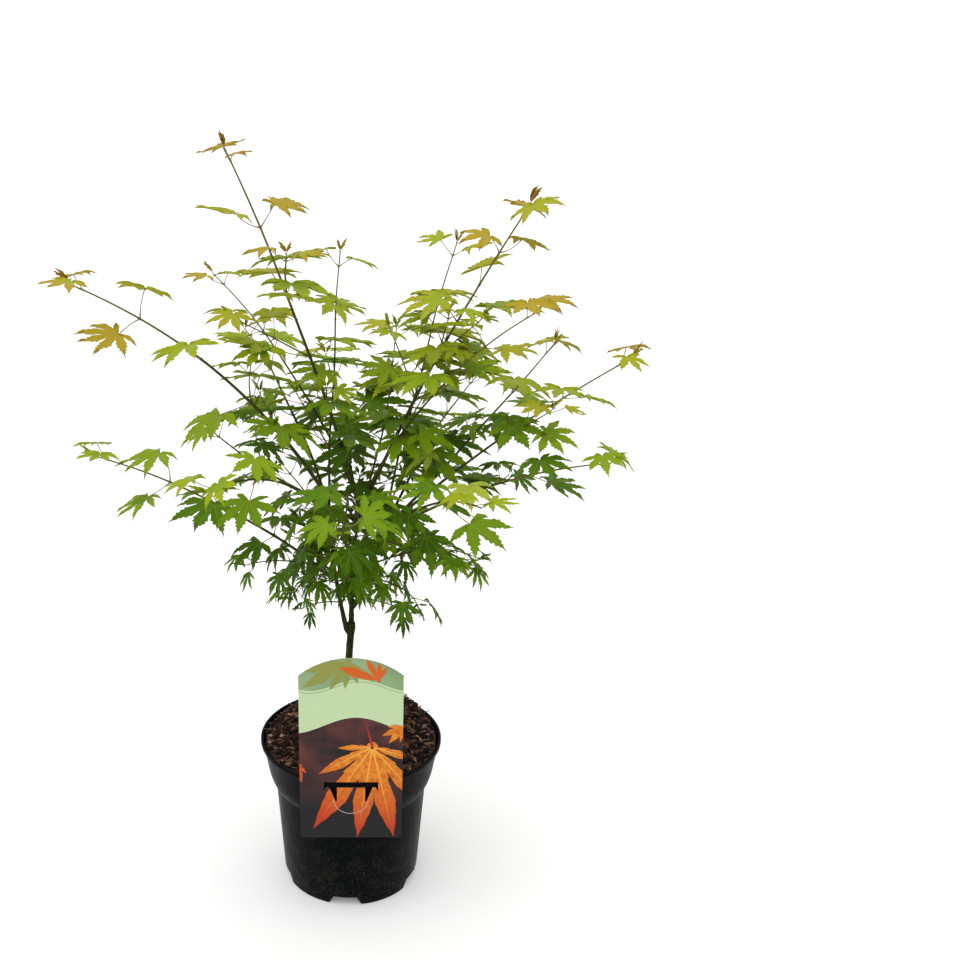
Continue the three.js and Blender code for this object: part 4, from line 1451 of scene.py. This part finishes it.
def fill_heart(plant):
    """Short leafy twigs from the boughs' upper ends, inside the crown."""
    rng = random.Random("heart")
    for bough in LIMBS:
        for step in range(HEART_TWIGS):
            share = HEART_FIRST + HEART_STEP * step
            low = share < HEART_LOW
            start = limb_lines[bough].at(share)
            turn = 2.4 * step + rng.uniform(0, 1.5)
            out = Vector((math.cos(turn), math.sin(turn), rng.uniform(-0.1, 0.45))).normalized()
            out *= rng.uniform(0.03, 0.055) if low else rng.uniform(0.05, 0.095)
            line = BowedLine(start, start + out * 0.5 + UP * 0.006, start + out)
            radii = (0.8 * MM, 0.5 * MM) if low else (1.1 * MM, 0.6 * MM)
            plant.shoot("middle", rng, line, radii, 0.036 if low else 0.045, depth=1, low=low)


# ------------------------------------------------------------------ the plant's pieces


def leaf_paints():
    """Every leaf finish, and where each one stands in a leaf piece's list of paints."""
    paints, places = [], {}

    def add(name, colour, roughness):
        places[name] = len(paints)
        paints.append(plain_paint(name, colour, roughness, Specular_IOR_Level=LEAF_GLOSS))

    # The last set of paints is the painted glow of light, with its vein and back.
    for name, colour in {**TINTS, "leaf_glow": LEAF_PAINTED_LIGHT}.items():
        add(name, colour, 0.46)
        vein = [VEIN_SHARE * part + extra for part, extra in zip(colour, VEIN_PALE)]
        add(name + "_vein", vein, 0.5)
        below = [BELOW_SHARE * part + extra for part, extra in zip(colour, BELOW_PALE)]
        add(name + "_below", below, 0.62)
    return paints, places


def deal_tints(kinds, tone, glow, luck, places):
    """Gives each face of a leaf its paint: newer tints towards the tips, a pale vein, a dull back."""
    base = tone * NEWEST + (luck - 0.5) * TINT_LUCK
    extras = (0, 0.45, 1.25 if tone > 0.45 else 0.3)
    names = [TINT_NAMES[int(max(0, min(NEWEST, round(base + extra))))] for extra in extras]
    # A leaf with the painted glow of light takes its bright colour all over, on vein and back too.
    if glow:
        names = ["leaf_glow"] * 3
    names += [names[0] + "_vein", names[0] + "_below"]
    return np.array([places[name] for name in names])[kinds]


def make_foliage(plant):
    paints, places = leaf_paints()
    masses = {group: [] for group in plant.leaves}
    for node in ROOTS:
        masses[group_of(node)].append(node)
    masses["middle"].append("crown_heart")
    for group, leaves in plant.leaves.items():
        points, faces, face_paints = [], [], []
        for plan_name, shaped, tone, glow, luck in leaves:
            plan = PLANS[plan_name]
            faces += (plan.faces + len(points)).tolist()
            points += shaped.tolist()
            face_paints += deal_tints(plan.kinds, tone, glow, luck, places).tolist()
        piece = mesh_piece("foliage_" + group, points, faces, paints)
        piece.data.polygons.foreach_set("material_index", face_paints)
        # An upper and a lower face on the same three corners become one.
        piece.data.validate()
        print(piece.name, len(leaves), "leaves", len(piece.data.polygons), "faces")
        finish_piece(piece, masses[group], sharp=60)


# The finish of each kind of twig and stalk: colour, roughness, sides and slot.
TWIG_FINISHES = {
    "twig_old": ((0.050, 0.052, 0.010), 0.55, 8, "bark"),
    "twig_young": ((0.120, 0.112, 0.018), 0.48, 8, "bark"),
    "stalk_green": ((0.20, 0.24, 0.06), 0.45, 5, "leaves"),
    "stalk_red": ((0.24, 0.135, 0.065), 0.45, 5, "leaves"),
}


def make_twigs(plant):
    for name, lines in {**plant.twigs, **plant.stalks}.items():
        colour, roughness, sides, slot = TWIG_FINISHES[name]
        paint = plain_paint(name, colour, roughness, Specular_IOR_Level=LEAF_GLOSS)
        finish_piece(tubes(name + "s", lines, sides, paint))


# ------------------------------------------------------------------ assembly

card_low, card_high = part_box("hanging_card")
card_front, card_back = card_low[1], card_high[1]

set_camera()
set_stage()
make_pot()
make_mix()
make_card()
make_limbs()
plant = Plant()
grow_sprays(plant)
fill_heart(plant)
make_foliage(plant)
make_twigs(plant)
